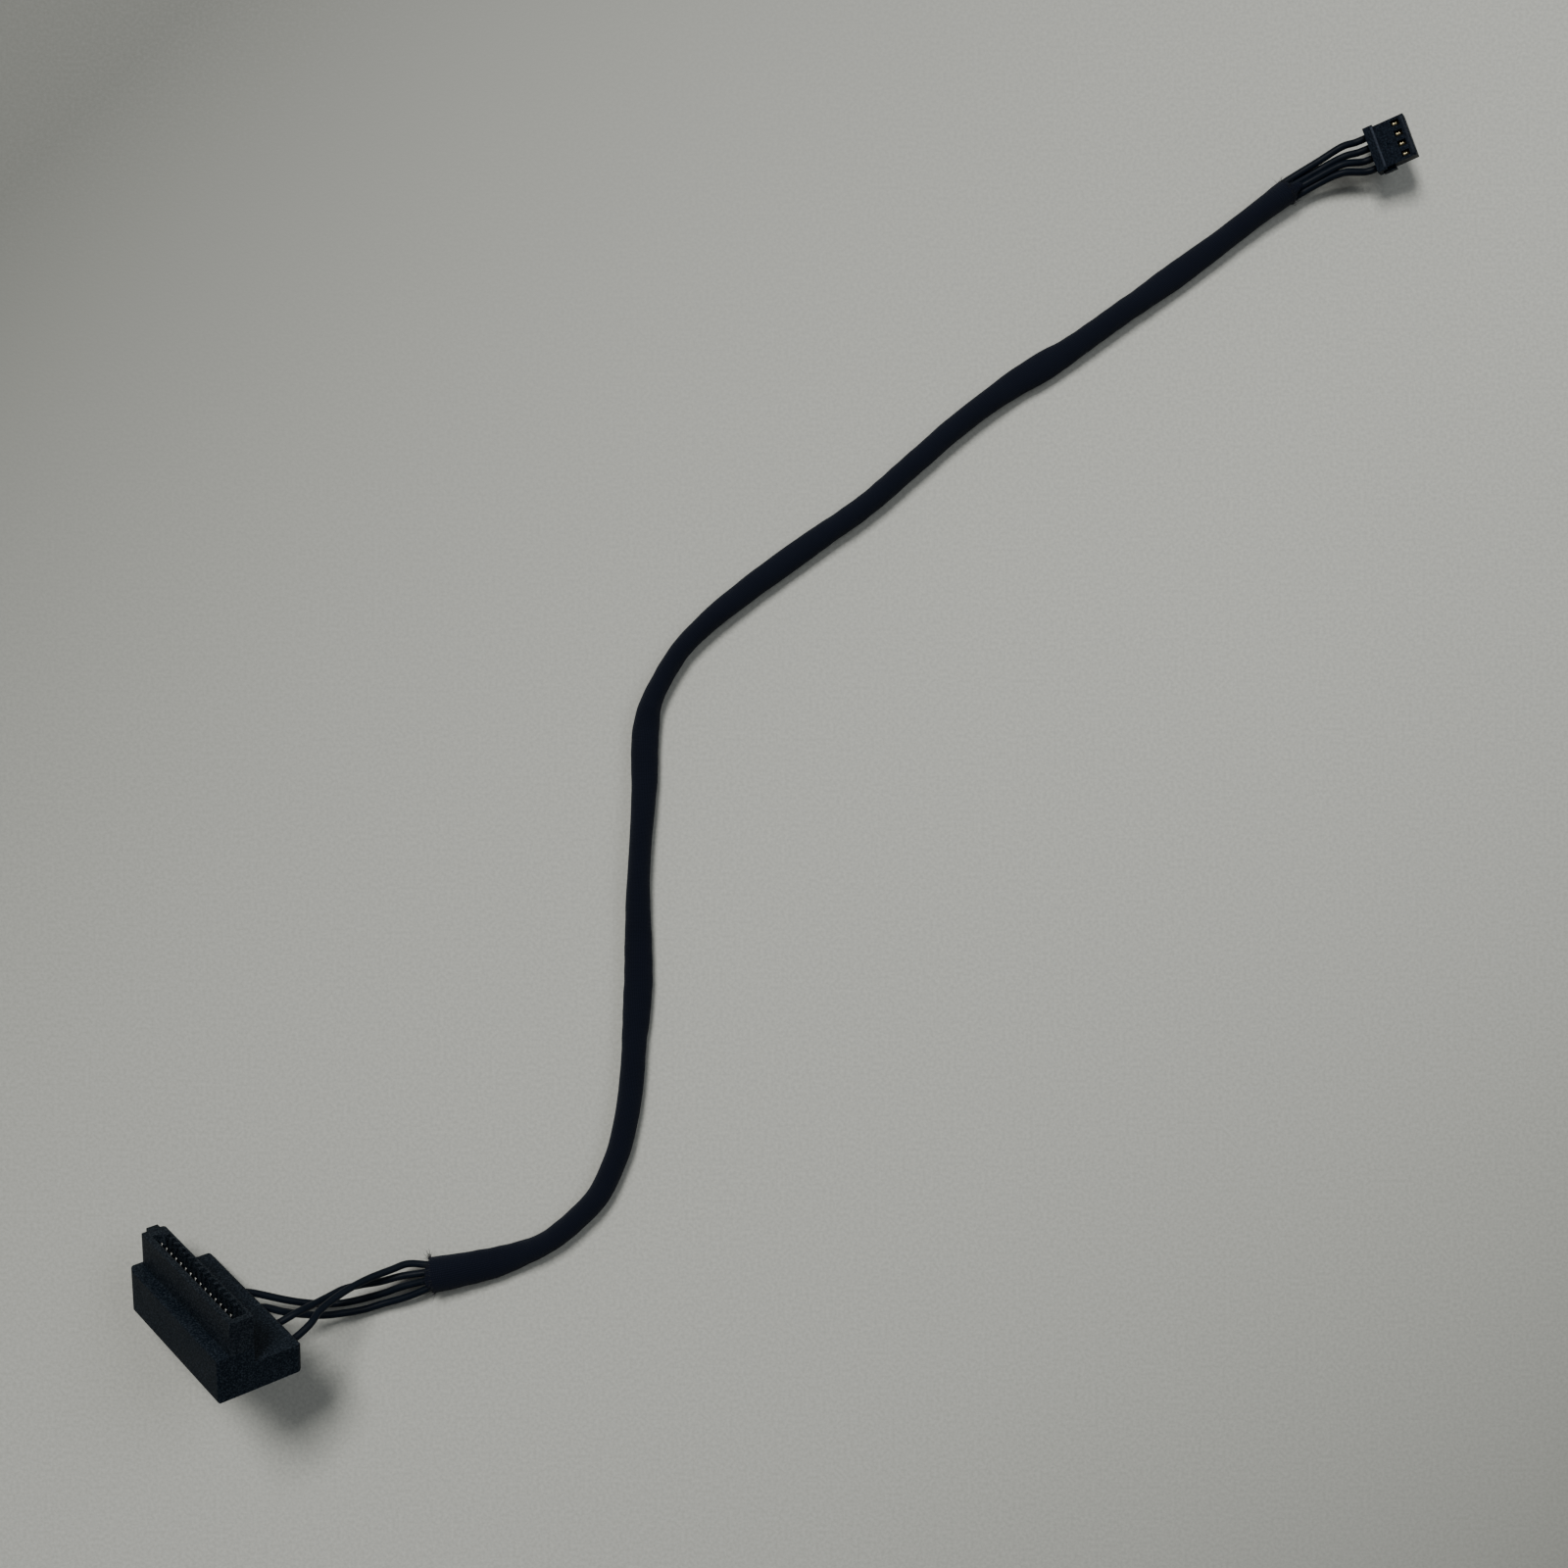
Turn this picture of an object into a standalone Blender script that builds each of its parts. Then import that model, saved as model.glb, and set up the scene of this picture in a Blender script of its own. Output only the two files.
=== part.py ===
# SATA power cable: a right-angle drive connector, four insulated wires, a woven sleeve
# and a small 4-way board connector. Metres, +Z up, the cable lies on the plane z = 0.
# Origin: under the middle of the drive connector's box, on the surface it stands on.

import math

import bpy
import bmesh
from mathutils import Euler, Matrix, Vector

# Drive connector. Its own axes: x along the contact row, y from the near long face to
# the wire side, z towards the drive.
BODY_END_MARGIN = 0.002485
BODY_DEPTH = 0.01045
BODY_NEAR_HEIGHT = 0.0059
BODY_BACK_HEIGHT = 0.0038
BODY_EDGE_ROUND = 0.00035
NEAR_LEFT_CORNER = 0.0010
NEAR_RIGHT_CORNER = 0.0004
BACK_RIGHT_CORNER = 0.0006
BACK_LEFT_CORNER = 0.0008

# Insulator: the head stands on the body, the root is held in it.
HEAD_SETBACK = 0.00155
HEAD_THICKNESS = 0.0029
HEAD_RISE = 0.00445
HEAD_LEFT_INSET = 0.0004
HEAD_CORNER = 0.00045
END_RIB_SETBACK = 0.0008
END_RIB_WIDTH = 0.0015
END_RIB_REACH = 0.0007
ROOT_END_INSET = 0.0011
ROOT_END_WALL = 0.0004
ROOT_BOTTOM_HEIGHT = 0.0024

# Slot for the drive's tongue, with the short leg that keys it.
SLOT_NEAR_WALL = 0.00065
SLOT_WIDTH = 0.0014
SLOT_DEPTH = 0.0056
SLOT_LEFT_WALL = 0.0011
SLOT_RIGHT_WALL = 0.00075
KEY_LENGTH = 0.0010
KEY_REACH = 0.0004

# Contacts, one passage each in the slot's far wall.
CONTACT_COUNT = 15
CONTACT_PITCH = 0.00127
CONTACT_WIDTH = 0.0005
CONTACT_THICKNESS = 0.00015
CONTACT_CREST_DROP = 0.0009
CONTACT_CREST_REACH = 0.0005
CONTACT_BEND = 0.0004
CONTACT_TAIL_HEIGHT = 0.0012
CONTACT_TAIL_LENGTH = 0.0030
PASSAGE_DEPTH = 0.00055

# Clearances between pieces.
SEAT_GAP = 0.0002
CONTACT_GAP = 0.00012
WIRE_GAP = 0.0001
PLUG_GAP = 0.0001

# How the connector stands: on its lowest corner, held up by its wires (degrees).
BODY_TURN = (-59.35, -43.7, -26.1)

# Wires and sleeve.
WIRE_DIAMETER = 0.00085
WIRE_STEP = 0.0020
WIRE_STRAIGHT_OUT = 0.0012
WIRE_LAY_PITCH = 0.00093
SLEEVE_DIAMETER = 0.0030
SLEEVE_MOUTH_DIAMETER = 0.0044
SLEEVE_FLARE_LENGTH = 0.0090
SLEEVE_WALL = 0.00015
SLEEVE_STEP = 0.0032

# Board connector (plug). Its own axes: x towards its mating face, y across the row,
# z out of its top face, origin in the middle of the mating face.
PLUG_PLACE = (0.1460, 0.1431, 0.00615)
PLUG_TURN = (1.0, -23.1, 20.2)
PLUG_WAYS = 4
PLUG_PITCH = 0.00125
PLUG_WIDTH = 0.0051
PLUG_THICKNESS = 0.0032
PLUG_BODY_LENGTH = 0.0038
PLUG_FLANGE_LENGTH = 0.0012
PLUG_FLANGE_PROUD = 0.0002
PLUG_EAR_LENGTH = 0.0010
PLUG_EAR_REACH = 0.00045
PLUG_FRONT_WALL = 0.0005
PLUG_PIN_HOLE = 0.00055
WINDOW_LENGTH = 0.0010
WINDOW_WIDTH = 0.0007
WINDOW_SETBACK = 0.00070
BUMP_LENGTH = 0.0003
BUMP_HEIGHT = 0.00008
BUMP_SETBACK = 0.0026
TERMINAL_WIDTH = 0.00075
TERMINAL_HEIGHT = 0.0010
TERMINAL_LENGTH = 0.0021
TERMINAL_WALL = 0.00013
CRIMP_LENGTH = 0.0008
CRIMP_SIZE = 0.0005

# Values that follow from the sizes above.
BODY_LENGTH = CONTACT_PITCH * (CONTACT_COUNT - 1) + 2 * BODY_END_MARGIN
BODY_TOP = BODY_NEAR_HEIGHT + HEAD_RISE
HEAD_NEAR = HEAD_SETBACK
HEAD_FAR = HEAD_SETBACK + HEAD_THICKNESS
SLOT_NEAR = HEAD_NEAR + SLOT_NEAR_WALL
SLOT_FAR = SLOT_NEAR + SLOT_WIDTH
SLOT_FLOOR = BODY_TOP - SLOT_DEPTH
SLOT_LEFT = HEAD_LEFT_INSET + SLOT_LEFT_WALL
SLOT_RIGHT = BODY_LENGTH - SLOT_RIGHT_WALL
PASSAGE_MIDDLE = SLOT_FAR + PASSAGE_DEPTH / 2
PASSAGE_WIDTH = CONTACT_WIDTH + 2 * CONTACT_GAP
FIRST_CONTACT = BODY_END_MARGIN
WIRE_RADIUS = WIRE_DIAMETER / 2
WIRE_HEIGHT = CONTACT_TAIL_HEIGHT + CONTACT_THICKNESS / 2 + CONTACT_GAP + WIRE_RADIUS
WIRE_START = PASSAGE_MIDDLE + CONTACT_BEND + WIRE_RADIUS
TAIL_END = PASSAGE_MIDDLE + CONTACT_BEND + CONTACT_TAIL_LENGTH
PLUG_LENGTH = PLUG_BODY_LENGTH + PLUG_FLANGE_LENGTH
CAVITY_WIDTH = TERMINAL_WIDTH + 2 * PLUG_GAP
CAVITY_HEIGHT = TERMINAL_HEIGHT + 2 * PLUG_GAP
CAVITY_LENGTH = TERMINAL_LENGTH + CRIMP_LENGTH + 2 * PLUG_GAP
PLUG_BORE_RADIUS = WIRE_RADIUS + PLUG_GAP

# The middle contact of the three that each wire is soldered across, counted from the
# keyless end, the wire's way in the plug, and its hand-chosen route from the drive
# connector to the sleeve and from the sleeve to the plug.
WIRES = {
    "wire_ground_a": {
        "contact": 4,
        "way": 2,
        "near_route": [
            (0.0064, -0.0014, 0.0032), (0.0088, -0.0020, 0.0023), (0.0113, -0.0023, 0.0017),
            (0.0140, -0.0021, 0.0014), (0.0180, -0.0011, 0.0014), (0.0210, 0.0000, 0.0018),
        ],
        "far_route": [(0.1353, 0.1388, 0.0030), (0.1382, 0.1402, 0.0038)],
        "lay": [(-0.5, 0.1), (-0.5, 0.43), (-0.5, 0.5), (-0.5, 0.5)],
    },
    "wire_five_volt": {
        "contact": 7,
        "way": 3,
        "near_route": [
            (0.0071, -0.0022, 0.0062), (0.0093, -0.0030, 0.0042), (0.0116, -0.0034, 0.0028),
            (0.0154, -0.0031, 0.0017), (0.0183, -0.0023, 0.0015), (0.0213, -0.0014, 0.0018),
        ],
        "far_route": [(0.1353, 0.1379, 0.0025), (0.1382, 0.1392, 0.0035)],
        "lay": [(-1.5, -0.1), (-1.2, -0.36), (-0.72, -0.5), (-0.5, -0.5)],
    },
    "wire_ground_b": {
        "contact": 10,
        "way": 1,
        "near_route": [
            (0.0091, -0.0016, 0.0092), (0.0107, -0.0010, 0.0076), (0.0123, -0.0004, 0.0060),
            (0.0140, 0.0003, 0.0048), (0.0160, 0.0006, 0.0038), (0.0182, 0.0008, 0.0030),
            (0.0209, 0.0014, 0.0024),
        ],
        "far_route": [(0.1353, 0.1395, 0.0023), (0.1382, 0.1412, 0.0034)],
        "lay": [(0.5, -0.1), (0.5, -0.43), (0.5, -0.5), (0.5, -0.5)],
    },
    "wire_twelve_volt": {
        "contact": 13,
        "way": 0,
        "near_route": [
            (0.0113, -0.0024, 0.0115), (0.0122, -0.0011, 0.0100), (0.0135, -0.0001, 0.0086),
            (0.0148, 0.0007, 0.0074), (0.0163, 0.0014, 0.0062), (0.0177, 0.0019, 0.0051),
            (0.0198, 0.0025, 0.0038), (0.0217, 0.0030, 0.0028),
        ],
        "far_route": [(0.1353, 0.1404, 0.0029), (0.1382, 0.1425, 0.0037)],
        "lay": [(1.5, 0.1), (1.2, 0.36), (0.72, 0.5), (0.5, 0.5)],
    },
}

# The sleeve's hand-chosen route on the surface, from the drive connector's side.
SLEEVE_ROUTE = [
    (0.0246, 0.0014), (0.0281, 0.0020), (0.0321, 0.0028), (0.0357, 0.0040), (0.0393, 0.0057),
    (0.0424, 0.0082), (0.0451, 0.0110), (0.0469, 0.0144), (0.0482, 0.0181), (0.0490, 0.0220),
    (0.0495, 0.0259), (0.0499, 0.0318), (0.0503, 0.0377), (0.0503, 0.0436), (0.0503, 0.0495),
    (0.0506, 0.0554), (0.0510, 0.0613), (0.0511, 0.0652), (0.0512, 0.0691), (0.0519, 0.0730),
    (0.0536, 0.0765), (0.0557, 0.0798), (0.0585, 0.0827), (0.0614, 0.0852), (0.0661, 0.0888),
    (0.0725, 0.0934), (0.0789, 0.0979), (0.0849, 0.1031), (0.0908, 0.1082), (0.0972, 0.1129),
    (0.1039, 0.1170), (0.1103, 0.1215), (0.1167, 0.1260), (0.1230, 0.1306), (0.1277, 0.1342),
    (0.1315, 0.1370),
]


# Scene, materials and small helpers.

def clear_scene():
    for item in list(bpy.data.objects):
        bpy.data.objects.remove(item, do_unlink=True)


def make_collection(name):
    collection = bpy.data.collections.new(name)
    bpy.context.scene.collection.children.link(collection)
    return collection


def principled(name, colour, roughness, metallic=0.0):
    material = bpy.data.materials.new(name)
    material.use_nodes = True
    shader = material.node_tree.nodes["Principled BSDF"]
    shader.inputs["Base Color"].default_value = (*colour, 1.0)
    shader.inputs["Roughness"].default_value = roughness
    shader.inputs["Metallic"].default_value = metallic
    material.diffuse_color = (*colour, 1.0)
    return material


def add_piece(name, data, material, parent=None):
    piece = bpy.data.objects.new(name, data)
    data.materials.append(material)
    parts.objects.link(piece)
    piece.parent = parent
    return piece


def add_cutter(name, data, parent):
    cutter = bpy.data.objects.new(name, data)
    cutters.objects.link(cutter)
    cutter.parent = parent
    cutter.hide_render = True
    cutter.display_type = "WIRE"
    return cutter


def boolean(piece, tool, operation="DIFFERENCE"):
    modifier = piece.modifiers.new(operation.title() + " " + tool.name, "BOOLEAN")
    modifier.object = tool
    modifier.operation = operation
    modifier.solver = "EXACT"


def mesh_from(build, name):
    mesh = bpy.data.meshes.new(name)
    work = bmesh.new()
    build(work)
    work.to_mesh(mesh)
    work.free()
    return mesh


def add_box(work, low, high):
    size = [b - a for a, b in zip(low, high)]
    middle = [(a + b) / 2 for a, b in zip(low, high)]
    place = Matrix.Translation(middle) @ Matrix.Diagonal((*size, 1.0))
    bmesh.ops.create_cube(work, size=1.0, matrix=place)


def box_mesh(name, *boxes):
    def build(work):
        for low, high in boxes:
            add_box(work, low, high)
    return mesh_from(build, name)


def rod_mesh(name, radius, ends, sides=16):
    """Straight round rods, each between two points on one axis direction."""
    def build(work):
        for start, end in ends:
            run = Vector(end) - Vector(start)
            turn = run.to_track_quat("Z", "Y").to_matrix().to_4x4()
            place = Matrix.Translation((Vector(start) + Vector(end)) / 2) @ turn
            bmesh.ops.create_cone(
                work, cap_ends=True, segments=sides, radius1=radius, radius2=radius,
                depth=run.length, matrix=place)
    return mesh_from(build, name)


def corner_arc(corner, before, after, radius, steps=4):
    """Points that round one corner of an outline."""
    corner, before, after = Vector(corner), Vector(before), Vector(after)
    inward, outward = (before - corner).normalized(), (after - corner).normalized()
    half = inward.angle(outward) / 2
    reach = radius / math.tan(half)
    centre = corner + (inward + outward).normalized() * radius / math.sin(half)
    first = (corner + inward * reach - centre).normalized()
    last = (corner + outward * reach - centre).normalized()
    return [tuple(centre + first.slerp(last, i / steps) * radius) for i in range(steps + 1)]


def rounded_outline(corners):
    """Outline from (point, radius) pairs, with an arc wherever the radius isn't zero."""
    points = []
    for i, (corner, radius) in enumerate(corners):
        if radius == 0:
            points.append(corner)
            continue
        before, after = corners[i - 1][0], corners[(i + 1) % len(corners)][0]
        points.extend(corner_arc(corner, before, after, radius))
    return points


def prism_mesh(name, outline, bottom, top):
    """Solid with a flat outline in x and y, between two heights."""
    curve = bpy.data.curves.new(name, "CURVE")
    curve.dimensions = "2D"
    curve.fill_mode = "BOTH"
    curve.extrude = (top - bottom) / 2
    spline = curve.splines.new("POLY")
    spline.points.add(len(outline) - 1)
    for point, (x, y) in zip(spline.points, outline):
        point.co = (x, y, 0.0, 1.0)
    spline.use_cyclic_u = True
    holder = bpy.data.objects.new(name, curve)
    cutters.objects.link(holder)
    mesh = bpy.data.meshes.new_from_object(holder.evaluated_get(bpy.context.evaluated_depsgraph_get()))
    bpy.data.objects.remove(holder, do_unlink=True)
    mesh.transform(Matrix.Translation((0.0, 0.0, (bottom + top) / 2)))
    work = bmesh.new()
    work.from_mesh(mesh)
    bmesh.ops.remove_doubles(work, verts=work.verts, dist=0.00001)
    bmesh.ops.dissolve_limit(work, angle_limit=math.radians(1), verts=work.verts, edges=work.edges)
    bmesh.ops.recalc_face_normals(work, faces=work.faces)
    work.to_mesh(mesh)
    work.free()
    return mesh


def round_edges(piece, width, segments=2):
    modifier = piece.modifiers.new("Edge round", "BEVEL")
    modifier.width = width
    modifier.segments = segments
    modifier.limit_method = "ANGLE"
    modifier.angle_limit = math.radians(50)


def sheet(piece, thickness, offset):
    modifier = piece.modifiers.new("Wall", "SOLIDIFY")
    modifier.thickness = thickness
    modifier.offset = offset


def contact_x(index):
    return FIRST_CONTACT + index * CONTACT_PITCH


# Curves through chosen points.

def catmull_rom(route, samples=24):
    """Dense points on a smooth curve through the route's own points."""
    points = [Vector(p) for p in route]
    points = [2 * points[0] - points[1], *points, 2 * points[-1] - points[-2]]
    dense = []
    for a, b, c, d in zip(points, points[1:], points[2:], points[3:]):
        for i in range(samples):
            t = i / samples
            dense.append(0.5 * (2 * b + (c - a) * t + (2 * a - 5 * b + 4 * c - d) * t * t
                                + (3 * b - a - 3 * c + d) * t * t * t))
    dense.append(points[-2])
    return dense


def evenly_spaced(route, step):
    """Points a step apart along the smooth curve, its two ends among them."""
    dense = catmull_rom(route)
    travelled = [0.0]
    for a, b in zip(dense, dense[1:]):
        travelled.append(travelled[-1] + (b - a).length)
    count = max(2, round(travelled[-1] / step))
    spaced, place = [], 0
    for i in range(count + 1):
        wanted = travelled[-1] * i / count
        while place < len(dense) - 2 and travelled[place + 1] < wanted:
            place += 1
        share = (wanted - travelled[place]) / (travelled[place + 1] - travelled[place])
        spaced.append(dense[place].lerp(dense[place + 1], min(1.0, share)))
    return spaced


def tube_curve(name, points, radii, capped):
    curve = bpy.data.curves.new(name, "CURVE")
    curve.dimensions = "3D"
    curve.bevel_depth = 1.0
    curve.bevel_resolution = 2
    curve.use_fill_caps = capped
    spline = curve.splines.new("POLY")
    spline.points.add(len(points) - 1)
    for point, place, radius in zip(spline.points, points, radii):
        point.co = (*place, 1.0)
        point.radius = radius
    return curve


# Drive connector.

def make_body():
    """Moulded body: a low back ledge, a higher near part, and pockets for what it holds."""
    def footprint(far, far_right, far_left):
        return rounded_outline([
            ((0.0, 0.0), NEAR_LEFT_CORNER), ((BODY_LENGTH, 0.0), NEAR_RIGHT_CORNER),
            ((BODY_LENGTH, far), far_right), ((0.0, far), far_left)])

    low = prism_mesh("connector_body", footprint(BODY_DEPTH, BACK_RIGHT_CORNER, BACK_LEFT_CORNER),
                     0.0, BODY_BACK_HEIGHT)
    body = add_piece("connector_body", low, black_moulding, connector)
    round_edges(body, BODY_EDGE_ROUND)

    near = prism_mesh("body_near_part", footprint(HEAD_FAR, 0.0, 0.0),
                      BODY_BACK_HEIGHT / 2, BODY_NEAR_HEIGHT)
    boolean(body, add_cutter("body_near_part", near, connector), "UNION")

    root = box_mesh("root_pocket", (
        (ROOT_END_INSET - SEAT_GAP, HEAD_NEAR - SEAT_GAP, ROOT_BOTTOM_HEIGHT - SEAT_GAP),
        (BODY_LENGTH - ROOT_END_INSET + SEAT_GAP, HEAD_FAR + SEAT_GAP, BODY_TOP)))
    boolean(body, add_cutter("root_pocket", root, connector))

    reach = CONTACT_THICKNESS / 2 + CONTACT_GAP
    trench = box_mesh("tail_trench", (
        (contact_x(0) - PASSAGE_WIDTH / 2, PASSAGE_MIDDLE - reach, CONTACT_TAIL_HEIGHT - reach),
        (contact_x(CONTACT_COUNT - 1) + PASSAGE_WIDTH / 2, PASSAGE_MIDDLE + CONTACT_BEND,
         ROOT_BOTTOM_HEIGHT)))
    boolean(body, add_cutter("tail_trench", trench, connector))

    grooves = box_mesh("tail_grooves", *[
        ((contact_x(i) - PASSAGE_WIDTH / 2, PASSAGE_MIDDLE, CONTACT_TAIL_HEIGHT - reach),
         (contact_x(i) + PASSAGE_WIDTH / 2, TAIL_END + CONTACT_GAP, CONTACT_TAIL_HEIGHT + reach))
        for i in range(CONTACT_COUNT)])
    boolean(body, add_cutter("tail_grooves", grooves, connector))

    bores = rod_mesh("wire_bores", WIRE_RADIUS + WIRE_GAP, [
        ((contact_x(wire["contact"]), WIRE_START - SEAT_GAP, WIRE_HEIGHT),
         (contact_x(wire["contact"]), BODY_DEPTH + BODY_EDGE_ROUND, WIRE_HEIGHT))
        for wire in WIRES.values()], sides=12)
    boolean(body, add_cutter("wire_bores", bores, connector))
    return body


def make_insulator():
    """Head with the drive slot, end rib and contact passages, on a narrower root."""
    rib_near = HEAD_NEAR + END_RIB_SETBACK
    rib_far = rib_near + END_RIB_WIDTH
    rib_left = HEAD_LEFT_INSET - END_RIB_REACH
    outline = rounded_outline([
        ((HEAD_LEFT_INSET, HEAD_NEAR), 0), ((BODY_LENGTH, HEAD_NEAR), 0),
        ((BODY_LENGTH, HEAD_FAR), 0), ((HEAD_LEFT_INSET, HEAD_FAR), HEAD_CORNER),
        ((HEAD_LEFT_INSET, rib_far), 0), ((rib_left, rib_far), 0),
        ((rib_left, rib_near), 0), ((HEAD_LEFT_INSET, rib_near), 0)])
    head_bottom = BODY_NEAR_HEIGHT + SEAT_GAP
    head = prism_mesh("insulator", outline, head_bottom, BODY_TOP)
    insulator = add_piece("insulator", head, black_insulator, connector)

    root = box_mesh("insulator_root", (
        (ROOT_END_INSET, HEAD_NEAR, ROOT_BOTTOM_HEIGHT),
        (BODY_LENGTH - ROOT_END_INSET, HEAD_FAR, head_bottom + HEAD_RISE / 4)))
    boolean(insulator, add_cutter("insulator_root", root, connector), "UNION")

    slot_outline = rounded_outline([
        ((SLOT_LEFT, SLOT_NEAR), 0), ((SLOT_RIGHT, SLOT_NEAR), 0),
        ((SLOT_RIGHT, SLOT_FAR + KEY_REACH), 0),
        ((SLOT_RIGHT - KEY_LENGTH, SLOT_FAR + KEY_REACH), 0),
        ((SLOT_RIGHT - KEY_LENGTH, SLOT_FAR), 0), ((SLOT_LEFT, SLOT_FAR), SLOT_WIDTH / 2)])
    slot = prism_mesh("drive_slot", slot_outline, head_bottom + SEAT_GAP, BODY_TOP + HEAD_RISE)
    boolean(insulator, add_cutter("drive_slot", slot, connector))
    slot_foot = box_mesh("slot_foot", (
        (ROOT_END_INSET + ROOT_END_WALL, SLOT_NEAR, SLOT_FLOOR),
        (BODY_LENGTH - ROOT_END_INSET - ROOT_END_WALL, SLOT_FAR, head_bottom + SEAT_GAP * 2)))
    boolean(insulator, add_cutter("slot_foot", slot_foot, connector))

    passages = box_mesh("contact_passages", *[
        ((contact_x(i) - PASSAGE_WIDTH / 2, SLOT_FAR - SLOT_WIDTH / 4, 0.0),
         (contact_x(i) + PASSAGE_WIDTH / 2, SLOT_FAR + PASSAGE_DEPTH, BODY_TOP + HEAD_RISE))
        for i in range(CONTACT_COUNT)])
    boolean(insulator, add_cutter("contact_passages", passages, connector))
    return insulator


def contact_path():
    """Side view of a contact in y and z: free tip, crest, spring, leg, bend and tail."""
    crest = BODY_TOP - CONTACT_CREST_DROP
    spring = SLOT_FLOOR + SLOT_DEPTH / 3
    bow = [
        (SLOT_FAR, BODY_TOP - CONTACT_CREST_DROP / 3),
        (SLOT_FAR - CONTACT_CREST_REACH * 0.8, crest + CONTACT_CREST_DROP / 4),
        (SLOT_FAR - CONTACT_CREST_REACH, crest),
        (SLOT_FAR - CONTACT_CREST_REACH * 0.8, crest - CONTACT_CREST_DROP / 2),
        (SLOT_FAR, (crest + spring) / 2),
        (PASSAGE_MIDDLE, spring)]
    centre = (PASSAGE_MIDDLE + CONTACT_BEND, CONTACT_TAIL_HEIGHT + CONTACT_BEND)
    turn = [math.pi + math.pi / 2 * i / 3 for i in range(4)]
    bend = [(centre[0] + CONTACT_BEND * math.cos(a), centre[1] + CONTACT_BEND * math.sin(a)) for a in turn]
    return bow + bend + [(TAIL_END, CONTACT_TAIL_HEIGHT)]


def make_contacts():
    """Fifteen spring contacts that share one ribbon mesh."""
    def build(work):
        rows = [[work.verts.new((x, y, z)) for x in (-CONTACT_WIDTH / 2, CONTACT_WIDTH / 2)]
                for y, z in contact_path()]
        for a, b in zip(rows, rows[1:]):
            work.faces.new((a[0], a[1], b[1], b[0]))

    ribbon = mesh_from(build, "contact_ribbon")
    ribbon.materials.append(contact_metal)
    for i in range(CONTACT_COUNT):
        contact = bpy.data.objects.new(f"contact_{i + 1:02d}", ribbon)
        parts.objects.link(contact)
        contact.parent = connector
        contact.location = (contact_x(i), 0.0, 0.0)
        sheet(contact, CONTACT_THICKNESS, 0.0)


def stand_connector(pieces):
    """Turn the connector as it rests, with its lowest point at z = 0 and its box centred."""
    turn = Euler([math.radians(a) for a in BODY_TURN]).to_matrix()
    depsgraph = bpy.context.evaluated_depsgraph_get()
    corners = []
    for piece in pieces:
        mesh = piece.evaluated_get(depsgraph).to_mesh()
        corners.extend(turn @ vertex.co for vertex in mesh.vertices)
    low = [min(c[k] for c in corners) for k in range(3)]
    high = [max(c[k] for c in corners) for k in range(3)]
    connector.rotation_euler = turn.to_euler()
    connector.location = (-(low[0] + high[0]) / 2, -(low[1] + high[1]) / 2, -low[2])
    bpy.context.view_layer.update()


# Sleeve and wires.

def flare(distance):
    """Sleeve radius at a distance from its nearer end."""
    share = min(1.0, distance / SLEEVE_FLARE_LENGTH)
    ease = share * share * (3 - 2 * share)
    return (SLEEVE_MOUTH_DIAMETER + (SLEEVE_DIAMETER - SLEEVE_MOUTH_DIAMETER) * ease) / 2


def sleeve_stations():
    """Points along the sleeve, each with its radius and its direction to the left."""
    flat = evenly_spaced([(x, y, 0.0) for x, y in SLEEVE_ROUTE], SLEEVE_STEP)
    step = (flat[1] - flat[0]).length
    stations = []
    for i, point in enumerate(flat):
        radius = flare(min(i, len(flat) - 1 - i) * step)
        ahead = flat[min(i + 1, len(flat) - 1)] - flat[max(i - 1, 0)]
        left = Vector((-ahead.y, ahead.x, 0.0)).normalized()
        stations.append((Vector((point.x, point.y, radius)), radius, left))
    return stations


def make_sleeve(stations):
    tube = tube_curve("sleeve", [s[0] for s in stations], [s[1] for s in stations], False)
    sheet(add_piece("sleeve", tube, woven_sleeve), SLEEVE_WALL, -1.0)


def wire_points(wire, stations):
    """Route of one wire: out of the body, down to the sleeve, through it, up to the plug."""
    x = contact_x(wire["contact"])
    place = connector.matrix_world
    start = place @ Vector((x, WIRE_START, WIRE_HEIGHT))
    exit_point = place @ Vector((x, BODY_DEPTH, WIRE_HEIGHT))
    clear = place @ Vector((x, BODY_DEPTH + WIRE_STRAIGHT_OUT, WIRE_HEIGHT))

    lay = wire["lay"]
    middle = lay + [lay[-1]] * (len(stations) - 2 * len(lay)) + lay[::-1]
    inside = [centre + (left * across + Vector((0, 0, up))) * WIRE_LAY_PITCH
              for (centre, radius, left), (across, up) in zip(stations, middle)]

    y = PLUG_PITCH * ((PLUG_WAYS - 1) / 2 - wire["way"])
    far_place = plug.matrix_world
    inlet = far_place @ Vector((-PLUG_LENGTH - WIRE_STRAIGHT_OUT, y, -PLUG_GAP))
    end = far_place @ Vector((-PLUG_FRONT_WALL - CAVITY_LENGTH - PLUG_GAP, y, -PLUG_GAP))

    near = evenly_spaced([exit_point, clear, *wire["near_route"], inside[0]], WIRE_STEP)
    far = evenly_spaced([inside[-1], *wire["far_route"], inlet], WIRE_STEP)
    return [start, *near, *inside[1:-1], *far, end]


def make_wires(stations):
    for name, wire in WIRES.items():
        points = wire_points(wire, stations)
        curve = tube_curve(name, points, [WIRE_RADIUS] * len(points), True)
        add_piece(name, curve, black_wire)


# Board connector.

def way_y(way):
    return PLUG_PITCH * ((PLUG_WAYS - 1) / 2 - way)


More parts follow.
